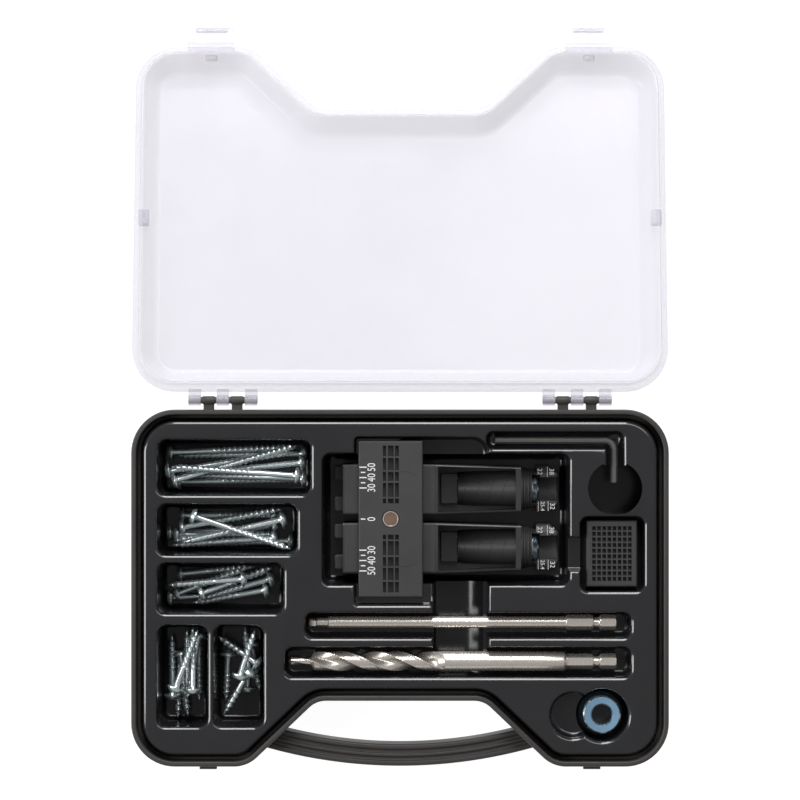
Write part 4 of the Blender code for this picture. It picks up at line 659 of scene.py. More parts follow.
@dataclass
class Lid:
    """The clear cover, modelled shut and then swung open about the hinge line by the joint's own range."""

    shape: CaseShape
    finishes: Finishes
    depth: float = 12 * MM
    wall: float = 1.6 * MM
    flange: float = 2.4 * MM
    gap: float = 0.3 * MM
    tongue_inset: float = 3.2 * MM
    tongue_width: float = 1.3 * MM
    tongue_depth: float = 3 * MM
    slope: float = 12 * MM
    knuckle_radius: float = 2.6 * MM
    rod_radius: float = 1.6 * MM
    rod_gap: float = 0.22 * MM
    latch_width: float = 23.2 * MM
    latch_length: float = 8 * MM
    latch_offset: float = 1.9 * MM
    latch_thickness: float = 1.2 * MM
    panel_inset: float = 8 * MM
    panel_radius: float = 4 * MM
    arm_into_wall: float = 1 * MM

    def opened(self, points: Array) -> Array:
        """Turns points about the hinge line by the lid's full swing, from shut to the pose at rest."""
        swing = next(joint for joint in frame["joints"] if joint["name"] == "lid_hinge")
        angle = math.radians(swing["range_deg"][0])
        line = self.shape.hinge_line()
        turn = np.array(Matrix.Rotation(angle, 3, "X"))
        return (points - line) @ turn.T + line

    def build(self) -> None:
        """Builds the cover, its knuckles and its two latches."""
        self.cover()
        for sign in (-1, 1):
            self.knuckles(sign)
            self.latch(sign)
            self.snap("side", sign, sign * (self.shape.width / 2 - 4.9 * MM), 0, 2.6 * MM, 4.1 * MM)
            self.snap("front", sign, sign * self.shape.latch_spread / 2, -self.shape.depth / 2 + 5.6 * MM, 3 * MM,
                      1.4 * MM)

    def cover(self) -> None:
        """The cover's section carried round the outline: inner panel, wall, tongue, flange, outer wall and panel."""
        flange = self.shape.rim_top + self.gap
        tongue = self.shape.rim_top - self.tongue_depth
        inner = self.tongue_inset + self.tongue_width
        top = self.shape.rim_top + self.depth
        shoulder = flange + self.flange
        path = profile([
            (self.slope + self.panel_inset, top - self.wall, 0),
            (self.slope * 0.75 + self.wall, top - self.wall, self.panel_radius),
            (inner + 0.8 * MM, shoulder + 0.4 * MM, 1 * MM), (inner, flange, 0.5 * MM), (inner, tongue, 0.3 * MM),
            (self.tongue_inset, tongue, 0.3 * MM), (self.tongue_inset, flange, 0.2 * MM), (0, flange, 0.3 * MM),
            (0, shoulder, 0.6 * MM), (inner - self.wall, shoulder + 0.3 * MM, 0.8 * MM),
            (self.slope * 0.75, top, self.panel_radius),
            (self.slope + self.panel_inset, top, 0),
        ], steps=5)
        rings = self.opened(carried(self.shape.corners(), path))
        self.finishes.rings("lid_cover", rings, Surface.LID, Body.LID, ["case_lid"], sharp=40)

    def snap(self, place: str, sign: int, x: float, y: float, half_x: float, half_y: float) -> None:
        """A small pad inside the rim that clicks over the base's edge."""
        low = self.shape.rim_top - 0.6 * MM
        corners = box_corners(x - half_x, x + half_x, y - half_y, y + half_y, 0.9 * MM)
        path = profile([(0.9 * MM, low, 0), (0, low + 0.9 * MM, 0.5 * MM), (0, low + 2.6 * MM, 0)])
        label = side_name(sign)
        self.finishes.rings(f"lid_snap_{place}_{label}", self.opened(carried(corners, path, 4)), Surface.LID, Body.LID,
                            ["case_lid"])

    def knuckles(self, sign: int) -> None:
        """Three tubes round the hinge rod, each with the arm that joins it to the flange."""
        line = self.shape.hinge_line()
        width = self.shape.knuckle_width
        bore = self.rod_radius + self.rod_gap
        outer = self.knuckle_radius
        side = side_name(sign)
        for number in (-2, 0, 2):
            start = line + [sign * self.shape.hinge_spread / 2 + number * self.shape.knuckle_pitch - width / 2, 0, 0]
            loop = [(0, bore), (0, outer - 0.3 * MM), (0.3 * MM, outer), (width - 0.3 * MM, outer),
                    (width, outer - 0.3 * MM), (width, bore)]
            rings = lathed(loop, start, RIGHTWARDS, 32)
            self.finishes.rings(f"lid_knuckle_{side}_{number + 3}", self.opened(rings), Surface.LID, Body.LID,
                                ["case_lid"], closed=True)
            left = start[0]
            front = self.shape.depth / 2 - self.arm_into_wall
            corners = box_corners(left, left + width, front, line[1] - bore, 0.3 * MM)
            path = profile([(0, line[2] + self.gap, 0), (0, line[2] + outer * 0.95, 0.5 * MM),
                            (0.5 * MM, line[2] + outer * 0.96, 0)])
            self.finishes.rings(f"lid_arm_{side}_{number + 3}", self.opened(carried(corners, path, 3)), Surface.LID,
                                Body.LID, ["case_lid"])

    def latch(self, sign: int) -> None:
        """One flap with rounded outer corners, and the ear of the flange that it flexes from."""
        middle = sign * self.shape.latch_spread / 2
        front = -self.shape.depth / 2
        half = self.latch_width / 2
        fold = front - self.latch_offset
        low = self.shape.rim_top + 2 * self.gap
        side = side_name(sign)
        body = Body.LATCH_LEFT if sign < 0 else Body.LATCH_RIGHT
        corners = np.array([
            (middle - half + 1 * MM, fold - self.latch_length, 2.2 * MM),
            (middle + half - 1 * MM, fold - self.latch_length, 2.2 * MM),
            (middle + half, fold, 0.3 * MM), (middle - half, fold, 0.3 * MM),
        ])
        thick = self.latch_thickness
        path = profile([(0.2 * MM, low, 0), (0, low + 0.2 * MM, 0.15 * MM), (0, low + thick, 0.3 * MM),
                        (0.4 * MM, low + thick, 0)])
        self.finishes.rings(f"latch_flap_{side}", self.opened(carried(corners, path, 8)), Surface.LID, body,
                            [f"lid_latch_{side}"])
        lip = box_corners(middle - half + 4 * MM, middle + half - 4 * MM, fold - self.latch_length + 0.3 * MM,
                          fold - 5.4 * MM, 0.4 * MM)
        path = profile([(0.3 * MM, low - 1.1 * MM, 0), (0, low - 0.8 * MM, 0.3 * MM), (0, low + 0.1 * MM, 0)])
        self.finishes.rings(f"latch_lip_{side}", self.opened(carried(lip, path, 4)), Surface.LID, body,
                            [f"lid_latch_{side}"])
        ear = box_corners(middle - half, middle + half, fold + self.gap, front + 2.4 * MM, 0.3 * MM)
        path = profile([(0, low, 0), (0, low + thick, 0.2 * MM), (0.3 * MM, low + thick, 0)])
        self.finishes.rings(f"latch_ear_{side}", self.opened(carried(ear, path, 3)), Surface.LID, Body.LID,
                            ["case_lid"])


# ---------------------------------------------------------------- the tray


@dataclass
class Hollow:
    """One hollow of the tray: its outline, its depth, and the rounding of its lip and floor."""

    name: str
    corners: Array
    depth: float
    lip: float = 1.7 * MM
    floor_radius: float = 2.5 * MM
    draft: float = 1 * MM

    def rings(self, top: float) -> Array:
        """The cutter's rings, from the floor up: a rounded floor edge, a drafted wall, and a lip that flares to level.

        The lip is a quarter circle: at angle t from level its inset is lip * (cos t - 1) and its height is
        top - lip * (1 - sin t).
        """
        draft = self.draft * self.depth / (25 * MM)
        floor = top - self.depth
        low = profile([
            (draft + self.floor_radius * 1.6, floor, 0), (draft, floor, self.floor_radius),
            (0, top - self.lip, 0),
        ], steps=6)
        turn = np.linspace(0, np.pi / 2, 7)[1:]
        lip = np.stack([self.lip * (np.cos(turn) - 1), top - self.lip * (1 - np.sin(turn))], 1)
        above = np.array([(-self.lip, top + 3 * MM)])
        return carried(self.corners, np.concatenate([low, lip, above]), 10)


@dataclass
class Tray:
    """The formed black insert, with a hollow for each tool and each length of screw.

    The screws' compartments are rows of (screw length, width, depth, gap to the next) down the left side, then columns
    of (screw length, width, depth) side by side, in millimetres.
    """

    shape: CaseShape
    finishes: Finishes
    inset: float = 5.4 * MM
    drop: float = 1 * MM
    shelf: float = 36.3 * MM
    edge_radius: float = 2 * MM
    screws_from_left: float = 7 * MM
    screws_from_back: float = 9 * MM
    screw_rows: tuple[tuple[int, float, float, float], ...] = (
        (63, 74.2, 26.8, 4.3), (51, 67.6, 24.6, 3.9), (38, 61.1, 24.4, 5.5))
    screw_columns: tuple[tuple[int, float, float], ...] = ((32, 24.4, 49.1), (25, 24.1, 49.1))
    column_gap: float = 2.8
    screw_corner: float = 4.5 * MM
    screw_depth: float = 32 * MM
    guide_depth: float = 31.8 * MM
    plate_depth: float = 6.8 * MM
    finger_depth: float = 12 * MM
    channel_left: float = 15.9 * MM
    channel_right: float = 42.6 * MM
    channel_back: float = 33 * MM
    channel_depth: float = 20 * MM
    bit_start: float = 1.6 * MM
    bit_end: float = 6.8 * MM
    bit_depth: float = 14 * MM
    corner: float = 4 * MM
    pad_depth: float = 12 * MM
    link_half: float = 8 * MM
    link_depth: float = 9 * MM
    key_half: float = 1.6 * MM
    key_room: float = 4.1 * MM
    key_corner: float = 3.4 * MM
    key_depth: float = 8 * MM
    key_end_radius: float = 11.4 * MM
    key_end_depth: float = 12 * MM
    collar_radius: float = 12.7 * MM
    collar_depth: float = 16 * MM
    thumb_offset: float = 14.1 * MM
    thumb_radius: float = 11.1 * MM
    thumb_depth: float = 9 * MM

    def top(self) -> float:
        """The height of the tray's flat face."""
        return self.shape.rim_top - self.drop

    def hollows(self) -> list[Hollow]:
        """Every hollow, placed by the tools' own boxes and by the tray's edges."""
        made = self.screw_hollows() + self.guide_hollows() + self.bit_hollows() + self.pad_hollows()
        made += self.key_hollows() + self.collar_hollows()
        LOG.info("tray: %d hollows below %.1f mm", len(made), self.top() / MM)
        return made

    def screw_hollows(self) -> list[Hollow]:
        """The five compartments for screws."""
        made = []
        x = -self.shape.width / 2 + self.inset + self.screws_from_left
        y = self.shape.depth / 2 - self.inset - self.screws_from_back
        for length, width, depth, gap in self.screw_rows:
            corners = box_corners(x, x + width * MM, y - depth * MM, y, self.screw_corner)
            made.append(Hollow(f"screws_{length}", corners, self.screw_depth))
            y -= (depth + gap) * MM
        for length, width, depth in self.screw_columns:
            corners = box_corners(x, x + width * MM, y - depth * MM, y, self.screw_corner)
            made.append(Hollow(f"screws_{length}", corners, self.screw_depth))
            x += (width + self.column_gap) * MM
        return made

    def guide_hollows(self) -> list[Hollow]:
        """The guide's pocket, the plate's ledge over it, and the hollow for a finger in front of the plate."""
        low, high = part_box("spacer_plate")
        one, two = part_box("guide_body_1"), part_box("guide_body_2")
        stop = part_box("edge_stop_1")[0].x
        guide = box_corners(stop - 5.4 * MM, one[1].x + 4.6 * MM, two[0].y - 5.3 * MM, one[1].y + 5.3 * MM, self.corner)
        plate = box_corners(low.x - 1.8 * MM, high.x + 4.8 * MM, low.y - 3.6 * MM, high.y + 1.8 * MM, 2 * MM)
        finger = box_corners((low.x + high.x) / 2, self.channel_right, (low.y + high.y) / 2, high.y + 1.7 * MM, 8 * MM)
        return [Hollow("guide", guide, self.guide_depth),
                Hollow("plate", plate, self.plate_depth, floor_radius=0.8 * MM),
                Hollow("finger", finger, self.finger_depth)]

    def bit_hollows(self) -> list[Hollow]:
        """The finger channel across both bits, and each bit's slot."""
        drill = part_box("drill_bit")
        middle = (drill[0].y + drill[1].y) / 2
        channel = box_corners(self.channel_left, self.channel_right, middle - 7 * MM, self.channel_back, self.corner)
        return [Hollow("channel", channel, self.channel_depth),
                self.slot("driver", "driver_bit", 7.1 * MM, 5.1 * MM),
                self.slot("drill", "drill_bit", 7.3 * MM, 7.3 * MM)]

    def slot(self, name: str, node: str, front: float, back: float) -> Hollow:
        """A bit's slot, which reaches this far in front of and behind the bit's middle line."""
        low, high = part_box(node)
        y = (low.y + high.y) / 2
        corners = box_corners(low.x - self.bit_start, high.x + self.bit_end, y - front, y + back, self.corner)
        return Hollow(name, corners, self.bit_depth)

    def pad_hollows(self) -> list[Hollow]:
        """The pad's pocket, and the shallow link between it and the guide's."""
        low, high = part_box("clamp_pad")
        guide_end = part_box("guide_body_1")[1].x
        y, half = (low.y + high.y) / 2, self.link_half
        pad = box_corners(low.x - 3.2 * MM, high.x + 3.2 * MM, low.y - 2.1 * MM, high.y + 2.1 * MM, self.corner)
        link = box_corners(guide_end, low.x + half, y - half, y + half, 2 * MM)
        return [Hollow("pad", pad, self.pad_depth), Hollow("link", link, self.link_depth, floor_radius=1 * MM)]

    def key_hollows(self) -> list[Hollow]:
        """The key's bent slot, and the round recess at its short end."""
        low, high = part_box("hex_key")
        x, y, room = high.x - self.key_half, high.y - self.key_half, self.key_room
        arm = box_corners(low.x - room, x + room, y - room, y + room, self.key_corner)
        turn = box_corners(x - room, x + room, low.y, y + room, self.key_corner)
        return [Hollow("key", arm, self.key_depth), Hollow("key_turn", turn, self.key_depth),
                self.round_hollow("key_end", x, low.y - 2.5 * MM, self.key_end_radius, self.key_end_depth)]

    def collar_hollows(self) -> list[Hollow]:
        """The collar's round pocket, and the shallower one for a thumb beside it."""
        low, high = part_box("stop_collar")
        middle = (low + high) / 2
        return [self.round_hollow("collar", middle.x, middle.y, self.collar_radius, self.collar_depth),
                self.round_hollow("thumb", middle.x - self.thumb_offset, middle.y, self.thumb_radius, self.thumb_depth)]

    def round_hollow(self, name: str, x: float, y: float, radius: float, depth: float) -> Hollow:
        """A round hollow: a square whose corner radius is nearly half its side."""
        corners = box_corners(x - radius, x + radius, y - radius, y + radius, radius - 0.05 * MM)
        return Hollow(name, corners, depth, floor_radius=2.2 * MM)

    def build(self) -> None:
        """Cuts every hollow out of a skirted block, so that crossing hollows run into each other as one surface."""
        top = self.top()
        path = profile([
            (9.8 * MM, 7.6 * MM, 0), (8.9 * MM, 7.6 * MM, 0.4 * MM), (7.6 * MM, self.shelf, 0),
            (self.inset, self.shelf, 0.2 * MM),
            (self.inset, top, self.edge_radius), (self.inset + 3.2 * MM, top, 0),
        ], steps=6)
        made = self.finishes.rings("tray_sheet", carried(self.shape.corners(), path), Surface.TRAY, Body.CASE,
                                   ["insert_tray"])
        for hollow in self.hollows():
            rings = hollow.rings(top)
            mesh = bpy.data.meshes.new(hollow.name)
            mesh.from_pydata(rings.reshape(-1, 3).tolist(), [], ring_faces(rings.shape[0], rings.shape[1]))
            cutter = bpy.data.objects.new("cut_" + hollow.name, mesh)
            bpy.context.scene.collection.objects.link(cutter)
            made.modifiers.new(hollow.name, "BOOLEAN").object = cutter
        self.settle(made)
        self.slope()

    def slope(self) -> None:
        """The finger channel's right side rises from its floor as a quarter circle, up to the bits' slots.

        At angle t its width is radius * sin t and its height is radius * (1 - cos t).
        """
        drill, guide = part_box("drill_bit"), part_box("guide_body_2")
        floor, ledge = self.top() - self.channel_depth, self.top() - self.bit_depth - 0.3 * MM
        radius, right = 12 * MM, self.channel_right - 0.4 * MM
        turn = np.linspace(0, math.acos(1 - (ledge - floor) / radius), 16)
        arc = np.stack([right - radius + radius * np.sin(turn), floor + radius * (1 - np.cos(turn))], 1)
        section = np.concatenate([[(right, floor - 0.1 * MM), (right, ledge)], arc[::-1],
                                  [(arc[0, 0], floor - 0.1 * MM)]])
        front, back = (drill[0].y + drill[1].y) / 2 - 6.5 * MM, guide[0].y - 4.4 * MM
        rings = np.stack([np.column_stack([section[:, 0], np.full(len(section), y), section[:, 1]])
                          for y in (back, front)])
        self.finishes.rings("channel_slope", rings, Surface.TRAY, Body.CASE, ["insert_tray"], sharp=30)

    def settle(self, made: bpy.types.Object) -> None:
        """Applies the cuts, removes the cutters, and shades the walls smooth up to their lips."""
        bpy.context.view_layer.update()
        graph = bpy.context.evaluated_depsgraph_get()
        mesh = bpy.data.meshes.new_from_object(made.evaluated_get(graph))
        cutters = [modifier.object for modifier in made.modifiers]
        made.modifiers.clear()
        made.data = mesh
        for cutter in cutters:
            bpy.data.objects.remove(cutter)
        mesh.shade_smooth()
        mesh.set_sharp_from_angle(angle=math.radians(28))


# ---------------------------------------------------------------- the drill guide


@dataclass
class Marking:
    """Printed marks, and sheets of painted shade: figures and thin bars, a hair above the face that they lie on."""

    finishes: Finishes
    thickness: float = 0.05 * MM

    def figures(self, name: str, words: str, size: float, place: Matrix, body: Body, nodes: Sequence[str]) -> None:
        """Figures as a flat mesh: size is the digits' height, and place puts the text's middle."""
        curve = bpy.data.curves.new(name, "FONT")
        curve.body = words
        curve.size = size / 0.7
        curve.align_x = "CENTER"
        curve.align_y = "CENTER"
        curve.extrude = self.thickness / 2
        holder = bpy.data.objects.new(name + "_text", curve)
        bpy.context.scene.collection.objects.link(holder)
        bpy.context.view_layer.update()
        mesh = bpy.data.meshes.new_from_object(holder.evaluated_get(bpy.context.evaluated_depsgraph_get()))
        bpy.data.objects.remove(holder)
        mesh.transform(place)
        mesh.materials.clear()
        mesh.materials.append(self.finishes.made[Surface.INK])
        made = bpy.data.objects.new(name, mesh)
        bpy.context.scene.collection.objects.link(made)
        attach(made, body.value)
        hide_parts(*nodes)

    def bars(self, name: str, bars: Sequence[tuple[float, float, float, float]], height: float, body: Body,
             nodes: Sequence[str], surface: Surface = Surface.INK) -> None:
        """Thin bars, each from its lowest to its highest x and y, standing on a face at this height."""
        points, faces = [], []
        for left, right, front, back in bars:
            base = len(points)
            points += [(x, y, z) for z in (height - 0.01 * MM, height + self.thickness) for x, y in
                       ((left, front), (right, front), (right, back), (left, back))]
            faces += [(base + 3, base + 2, base + 1, base), (base + 4, base + 5, base + 6, base + 7)]
            faces += [(base + k, base + (k + 1) % 4, base + 4 + (k + 1) % 4, base + 4 + k) for k in range(4)]
        self.finishes.add(name, np.array(points), faces, surface, body, nodes)


@dataclass
class SpacerPlate:
    """The flat plate over both guides: bevelled edges, blind slots, a magnet, a scale, and a line round each half.

    The slots' columns are (distance right of the middle, width) and their rows are (distance from the middle, length),
    in millimetres. Each row lies on both sides of the middle.
    """

    finishes: Finishes
    marking: Marking
    thickness: float = 4.6 * MM
    bevel: float = 0.8 * MM
    grid: float = 0.35 * MM
    slot_depth: float = 3.1 * MM
    slot_columns: tuple[tuple[float, float], ...] = ((-3, 1.5), (0.05, 2.7), (3, 1.8))
    slot_rows: tuple[tuple[float, float], ...] = ((8.7, 2.3), (14.05, 6.8), (20.5, 4.3), (26.5, 5.9), (32.85, 5.1))
    seat_radius: float = 4.1 * MM
    seat_depth: float = 0.6 * MM
    rail_half: float = 4 * MM
    rail_inset: float = 7 * MM
    ticks: tuple[int, ...] = (0, 30, 35, 40, 45, 50)
    figures: tuple[int, ...] = (0, 30, 40, 50)
    figure_height: float = 3.76 * MM
    figure_squeeze: float = 0.77

    def build(self) -> None:
        """Builds the plate as a height surface, its rail, the magnet and the printed scale."""
        low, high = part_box("spacer_plate")
        top = high.z
        middle = (low + high) / 2
        slots = self.slots(middle)
        xs = steps_at(low.x, high.x, self.grid, [x for slot in slots for x in slot[:2]])
        ys = steps_at(low.y, high.y, self.grid, [y for slot in slots for y in slot[2:]])
        x, y = np.meshgrid(xs, ys, indexing="ij")
        edge = np.minimum(np.minimum(x - low.x, high.x - x), np.minimum(y - low.y, high.y - y))
        height = top - self.bevel * (1 - np.sqrt(1 - (1 - ramp(edge, 0, self.bevel)) ** 2))
        for left, right, front, back in slots:
            height = np.where((x > left) & (x < right) & (y > front) & (y < back), top - self.slot_depth, height)
        seat = np.hypot(x - middle.x, y - middle.y) < self.seat_radius
        height = np.where(seat, top - self.seat_depth, height)
        points, faces = relief(x, y, height, high.z - self.thickness)
        self.finishes.add("plate_face", points, faces, Surface.PLATE, Body.PLATE, ["spacer_plate"], 40)
        rail = box_corners(middle.x - self.rail_half, middle.x + self.rail_half, low.y + self.rail_inset,
                           high.y - self.rail_inset, 0.5 * MM)
        path = profile([(0.3 * MM, low.z, 0), (0, low.z + 0.3 * MM, 0.2 * MM), (0, high.z - 4.4 * MM, 0)])
        self.finishes.rings("plate_rail", carried(rail, path, 4), Surface.PLATE, Body.PLATE, ["spacer_plate"])
        # Sheets of the guide's black laid on every slot floor so that the slots read dark: painted shade.
        self.marking.bars("slot_floor_shade", slots, top - self.slot_depth, Body.PLATE, ["spacer_plate"], Surface.GUIDE)
        self.magnet(middle, top)
        self.grooves(middle, top)
        self.scale(low, high, middle)

    def slots(self, middle: Vector) -> list[tuple[float, float, float, float]]:
        """Each slot's left, right, front and back edge."""
        return [(middle.x + (offset - width / 2) * MM, middle.x + (offset + width / 2) * MM,
                 middle.y + (sign * distance - length / 2) * MM, middle.y + (sign * distance + length / 2) * MM)
                for offset, width in self.slot_columns for distance, length in self.slot_rows for sign in (-1, 1)]

    def magnet(self, middle: Vector, top: float) -> None:
        """The magnet: a flat face inside a bright raised ring."""
        stations = np.array([(0, 0.3), (0, 3.8), (2.3, 3.8), (2.75, 3.72), (2.9, 3.5), (2.9, 3.3), (2.7, 3.1),
                             (2.7, 0.1)]) * MM
        rings = lathed(stations, [middle.x, middle.y, top - 3 * MM], UPWARDS, 64)
        self.finishes.rings("magnet_disc", rings, Surface.MAGNET, Body.PLATE, ["plate_magnet"])
        ring = np.array([(2.85, 3.25), (3.05, 3.35), (3.05, 3.7), (2.85, 3.8), (2.6, 3.8), (2.6, 3.2)]) * MM
        rings = lathed(ring[::-1], [middle.x, middle.y, top - 3.1 * MM], UPWARDS, 64)
        self.finishes.rings("magnet_ring", rings, Surface.STEEL, Body.PLATE, ["plate_magnet"], closed=True)

    def grooves(self, middle: Vector, top: float) -> None:
        """A raised hairline round each half's front corner: straight, then a quarter turn towards the long edge."""
        for sign in (-1, 1):
            reach, turn = 6.6 * MM, 9.0 * MM
            straight = np.stack([np.linspace(-4.8 * MM, reach, 12), np.full(12, 22.9 * MM)], 1)
            angle = np.linspace(np.pi / 2, np.pi / 2 - 0.75, 14)[1:]
            bend = np.stack([reach + turn * np.cos(angle), 22.9 * MM - turn * (1 - np.sin(angle))], 1)
            path = np.concatenate([straight, bend])
            tangent = unit(np.gradient(path, axis=0))
            normal = np.stack([-tangent[:, 1], tangent[:, 0]], 1) * 0.14 * MM
            left, right = path + normal, path - normal
            foot, crest = top - 0.01 * MM, top + 0.06 * MM
            section = ((left, foot), (left, crest), (right, crest), (right, foot))
            rings = np.stack([
                np.column_stack([edge[:, 0] + middle.x, sign * edge[:, 1] + middle.y, np.full(len(path), height)])
                for edge, height in section], 1)
            faces = ring_faces(rings.shape[0], 4)
            if sign < 0:
                faces = [face[::-1] for face in faces]
            label = "upper" if sign > 0 else "lower"
            self.finishes.add(f"plate_line_{label}", rings.reshape(-1, 3), faces, Surface.GUIDE, Body.PLATE,
                              ["spacer_plate"])

    def scale(self, low: Vector, high: Vector, middle: Vector) -> None:
        """The printed scale: a tick for each hole spacing, half of it either side of the middle, and its figures."""
        face = high.z
        bars = []
        for spacing in self.ticks:
            for sign in ((1,) if spacing == 0 else (-1, 1)):
                y = middle.y + sign * spacing / 2 * MM
                long_tick = spacing % 10 == 0
                first, last = (0.5, 4.0) if long_tick and spacing else (1.2, 3.4)
                bars.append((low.x + first * MM, low.x + last * MM, y - 0.27 * MM, y + 0.27 * MM))
                if spacing in self.figures:
                    place = (Matrix.Translation((low.x + 6.5 * MM, y, face)) @ Matrix.Rotation(math.pi / 2, 4, "Z")
                             @ Matrix.Diagonal((self.figure_squeeze, 1, 1, 1)))
                    label = {1: "upper", -1: "lower"}[sign]
                    self.marking.figures(f"scale_{spacing}_{label}", str(spacing), self.figure_height, place,
                                         Body.PLATE, ["spacer_plate"])
        self.marking.bars("scale_ticks", bars, face, Body.PLATE, ["spacer_plate"])


@dataclass(frozen=True)
class GuideLines:
    """Where one guide lies: its box, its middle line, and the ends of its window, its neck and its nose."""

    body: Body
    node: str
    left: float
    right: float
    bottom: float
    top: float
    middle: float
    half: float
    start: float
    end: float
    neck_end: float
    mouth: float


@dataclass
class DrillGuide:
    """One of the two guides: a block under the plate, a window round the bush's tube, a cone and a notched nose."""

    finishes: Finishes
    marking: Marking
    number: int
    window_start: float = 46 * MM
    window_end: float = 86.2 * MM
    window_wall: float = 0.9
    window_floor: float = 6.5 * MM
    neck: float = 8.2 * MM
    neck_gap: float = 0.6 * MM
    band: float = 2.5 * MM
    nose_length: float = 11 * MM
    nose_height: float = 16.5 * MM
    nose_half: float = 11.4 * MM
    nose_taper: float = 4 * MM
    slope: float = math.radians(15)
    axis_height: float = 13.5 * MM
    tube_radius: float = 8.4 * MM
    tube_start: float = 9.5 * MM
    step_start: float = 1.5 * MM
    step_half: float = 7.2 * MM
    step_height: float = 10.5 * MM
    rounding: float = 1.2 * MM
    rail_start: float = 11.3 * MM
    rail_end: float = 19.9 * MM
    rail_depth: float = 3.3 * MM
    grid: float = 0.45 * MM
    share_step: float = 0.018
    crisp_shares: tuple[float, ...] = (0.9, 0.935, 0.2, 0.27, 0.5)
    grips: int = 4
    prong: float = 6.9 * MM
    bar: float = 5 * MM

    def lines(self) -> GuideLines:
        """Reads the guide's box and places its features along it."""
        node = f"guide_body_{self.number}"
        low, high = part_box(node)
        end = low.x + self.window_end
        return GuideLines(
            body=Body.GUIDE_1 if self.number == 1 else Body.GUIDE_2, node=node, left=low.x, right=high.x, bottom=low.z,
            top=high.z, middle=(low.y + high.y) / 2, half=(high.y - low.y) / 2, start=low.x + self.window_start,
            end=end, neck_end=end + self.neck, mouth=high.x - self.nose_length)

    def build(self) -> None:
        """Builds the block, the bush, the printed marks and the edge stop."""
        at = self.lines()
        nose, tip = at.neck_end - self.neck_gap, at.right - self.nose_taper
        xs = steps_at(at.left, at.right, self.grid, [at.start, at.end - self.band, at.end, nose, at.mouth, tip])
        crisp = np.array(self.crisp_shares)
        shares = np.unique(np.concatenate([steps_at(-1, 1, self.share_step), crisp, -crisp]))
        x, share = np.meshgrid(xs, shares, indexing="ij")
        taper = np.interp(x, [at.left, at.start, at.end - 2 * MM, at.end, at.neck_end, tip, at.right],
                          [at.half, at.half, at.half * 0.9, at.half * 0.9, self.nose_half, self.nose_half,
                           self.nose_half - self.nose_taper])
        pinch = np.interp(x, [at.end, at.neck_end], [at.half * 0.86, at.half * 0.7])
        width = np.where((x > at.end) & (x < nose), pinch, taper)
        y = share * width
        height = self.height(x, y, share, width, at)
        seam = int(np.searchsorted(xs, at.neck_end - 0.5 * MM))
        parts = (("shell", slice(0, seam + 1), Surface.GUIDE), ("nose", slice(seam, None), Surface.PLATE))
        for part, rows, surface in parts:
            points, faces = relief(x[rows], y[rows] + at.middle, height[rows], at.bottom)
            self.finishes.add(f"guide_{part}_{self.number}", points, faces, surface, at.body, [at.node], 38)
        self.sleeve(at)
        self.ribs(at)
        self.bush(at)
        self.marks(at)
        self.stop()

    def height(self, x: Array, y: Array, share: Array, width: Array, at: GuideLines) -> Array:
        """The guide's height over each point.

        The block is level with a rounded edge. Over the window's level floor stands the tube: a cylinder's
        upper side, axis height + sqrt(r^2 - y^2) / cos(slope), whose axis falls away from the mouth by tan(slope). The
        cone is sqrt(r(x)^2 - y^2) about a level axis. The nose is level, with a trough of the drill's radius round the
        slanting axis, and its long edges are chamfered.
        """
        edge = width - np.abs(y)
        fall = self.rounding * (1 - np.sqrt(np.clip(1 - (1 - ramp(edge, 0, self.rounding)) ** 2, 0, 1)))
        plate_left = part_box("spacer_plate")[0].x
        on_rail = (x > plate_left + self.rail_start) & (x < plate_left + self.rail_end)
        block = at.top - fall - np.where(on_rail, self.rail_depth, 0)
        axis = at.bottom + self.axis_height - (at.mouth - x) * math.tan(self.slope)
        radius = self.tube_radius
        tube = axis + np.sqrt(np.clip(radius**2 - y**2, 0, None)) / math.cos(self.slope)
        tube = np.where(np.abs(y) < radius, tube, at.bottom)
        floor = at.bottom + self.window_floor
        inside = np.where(x > at.start + self.tube_start, np.maximum(tube, floor), floor)
        step = (x > at.start + self.step_start) & (x <= at.start + self.tube_start) & (np.abs(y) < self.step_half)
        inside = np.where(step, at.bottom + self.step_height, inside)
        rail_top = np.interp(x, [at.start, at.end - self.band], [at.top, at.top - 1.2 * MM])
        window = np.where(np.abs(share) > self.window_wall, rail_top - fall, inside)
        band = at.top - 1.2 * MM - fall
        rings = 0.5 * MM * (((x - at.end) / (1.6 * MM)) % 1 > 0.6)
        around = np.interp(x, [at.end, at.neck_end], [12 * MM, 9.6 * MM]) - rings
        cone = at.bottom + 12 * MM + np.sqrt(np.clip(around**2 - y**2, (1 * MM) ** 2, None))
        slant = self.nose_height - 2.2 * MM * ramp(np.abs(y), 7.5 * MM, self.nose_half)
        reach = np.where(x < at.mouth + 1.8 * MM, 6.7 * MM, 5.7 * MM)
        trough = axis - np.sqrt(np.clip(reach**2 - y**2, 0, None)) / math.cos(self.slope)
        open_mouth = (np.abs(y) < reach) & (x > at.mouth - 2 * MM)
        cone = np.where(open_mouth, np.minimum(trough, cone), cone)
        nose = np.where(open_mouth, np.minimum(trough, at.bottom + slant), at.bottom + slant)
        lip = 0.8 * MM * (1 - ramp(np.minimum(at.right - x, edge), 0, 0.8 * MM))
        zones = [x <= at.start, x <= at.end - self.band, x <= at.end, x <= at.neck_end - self.neck_gap]
        return np.select(zones, [block, window, band, cone], nose - lip)

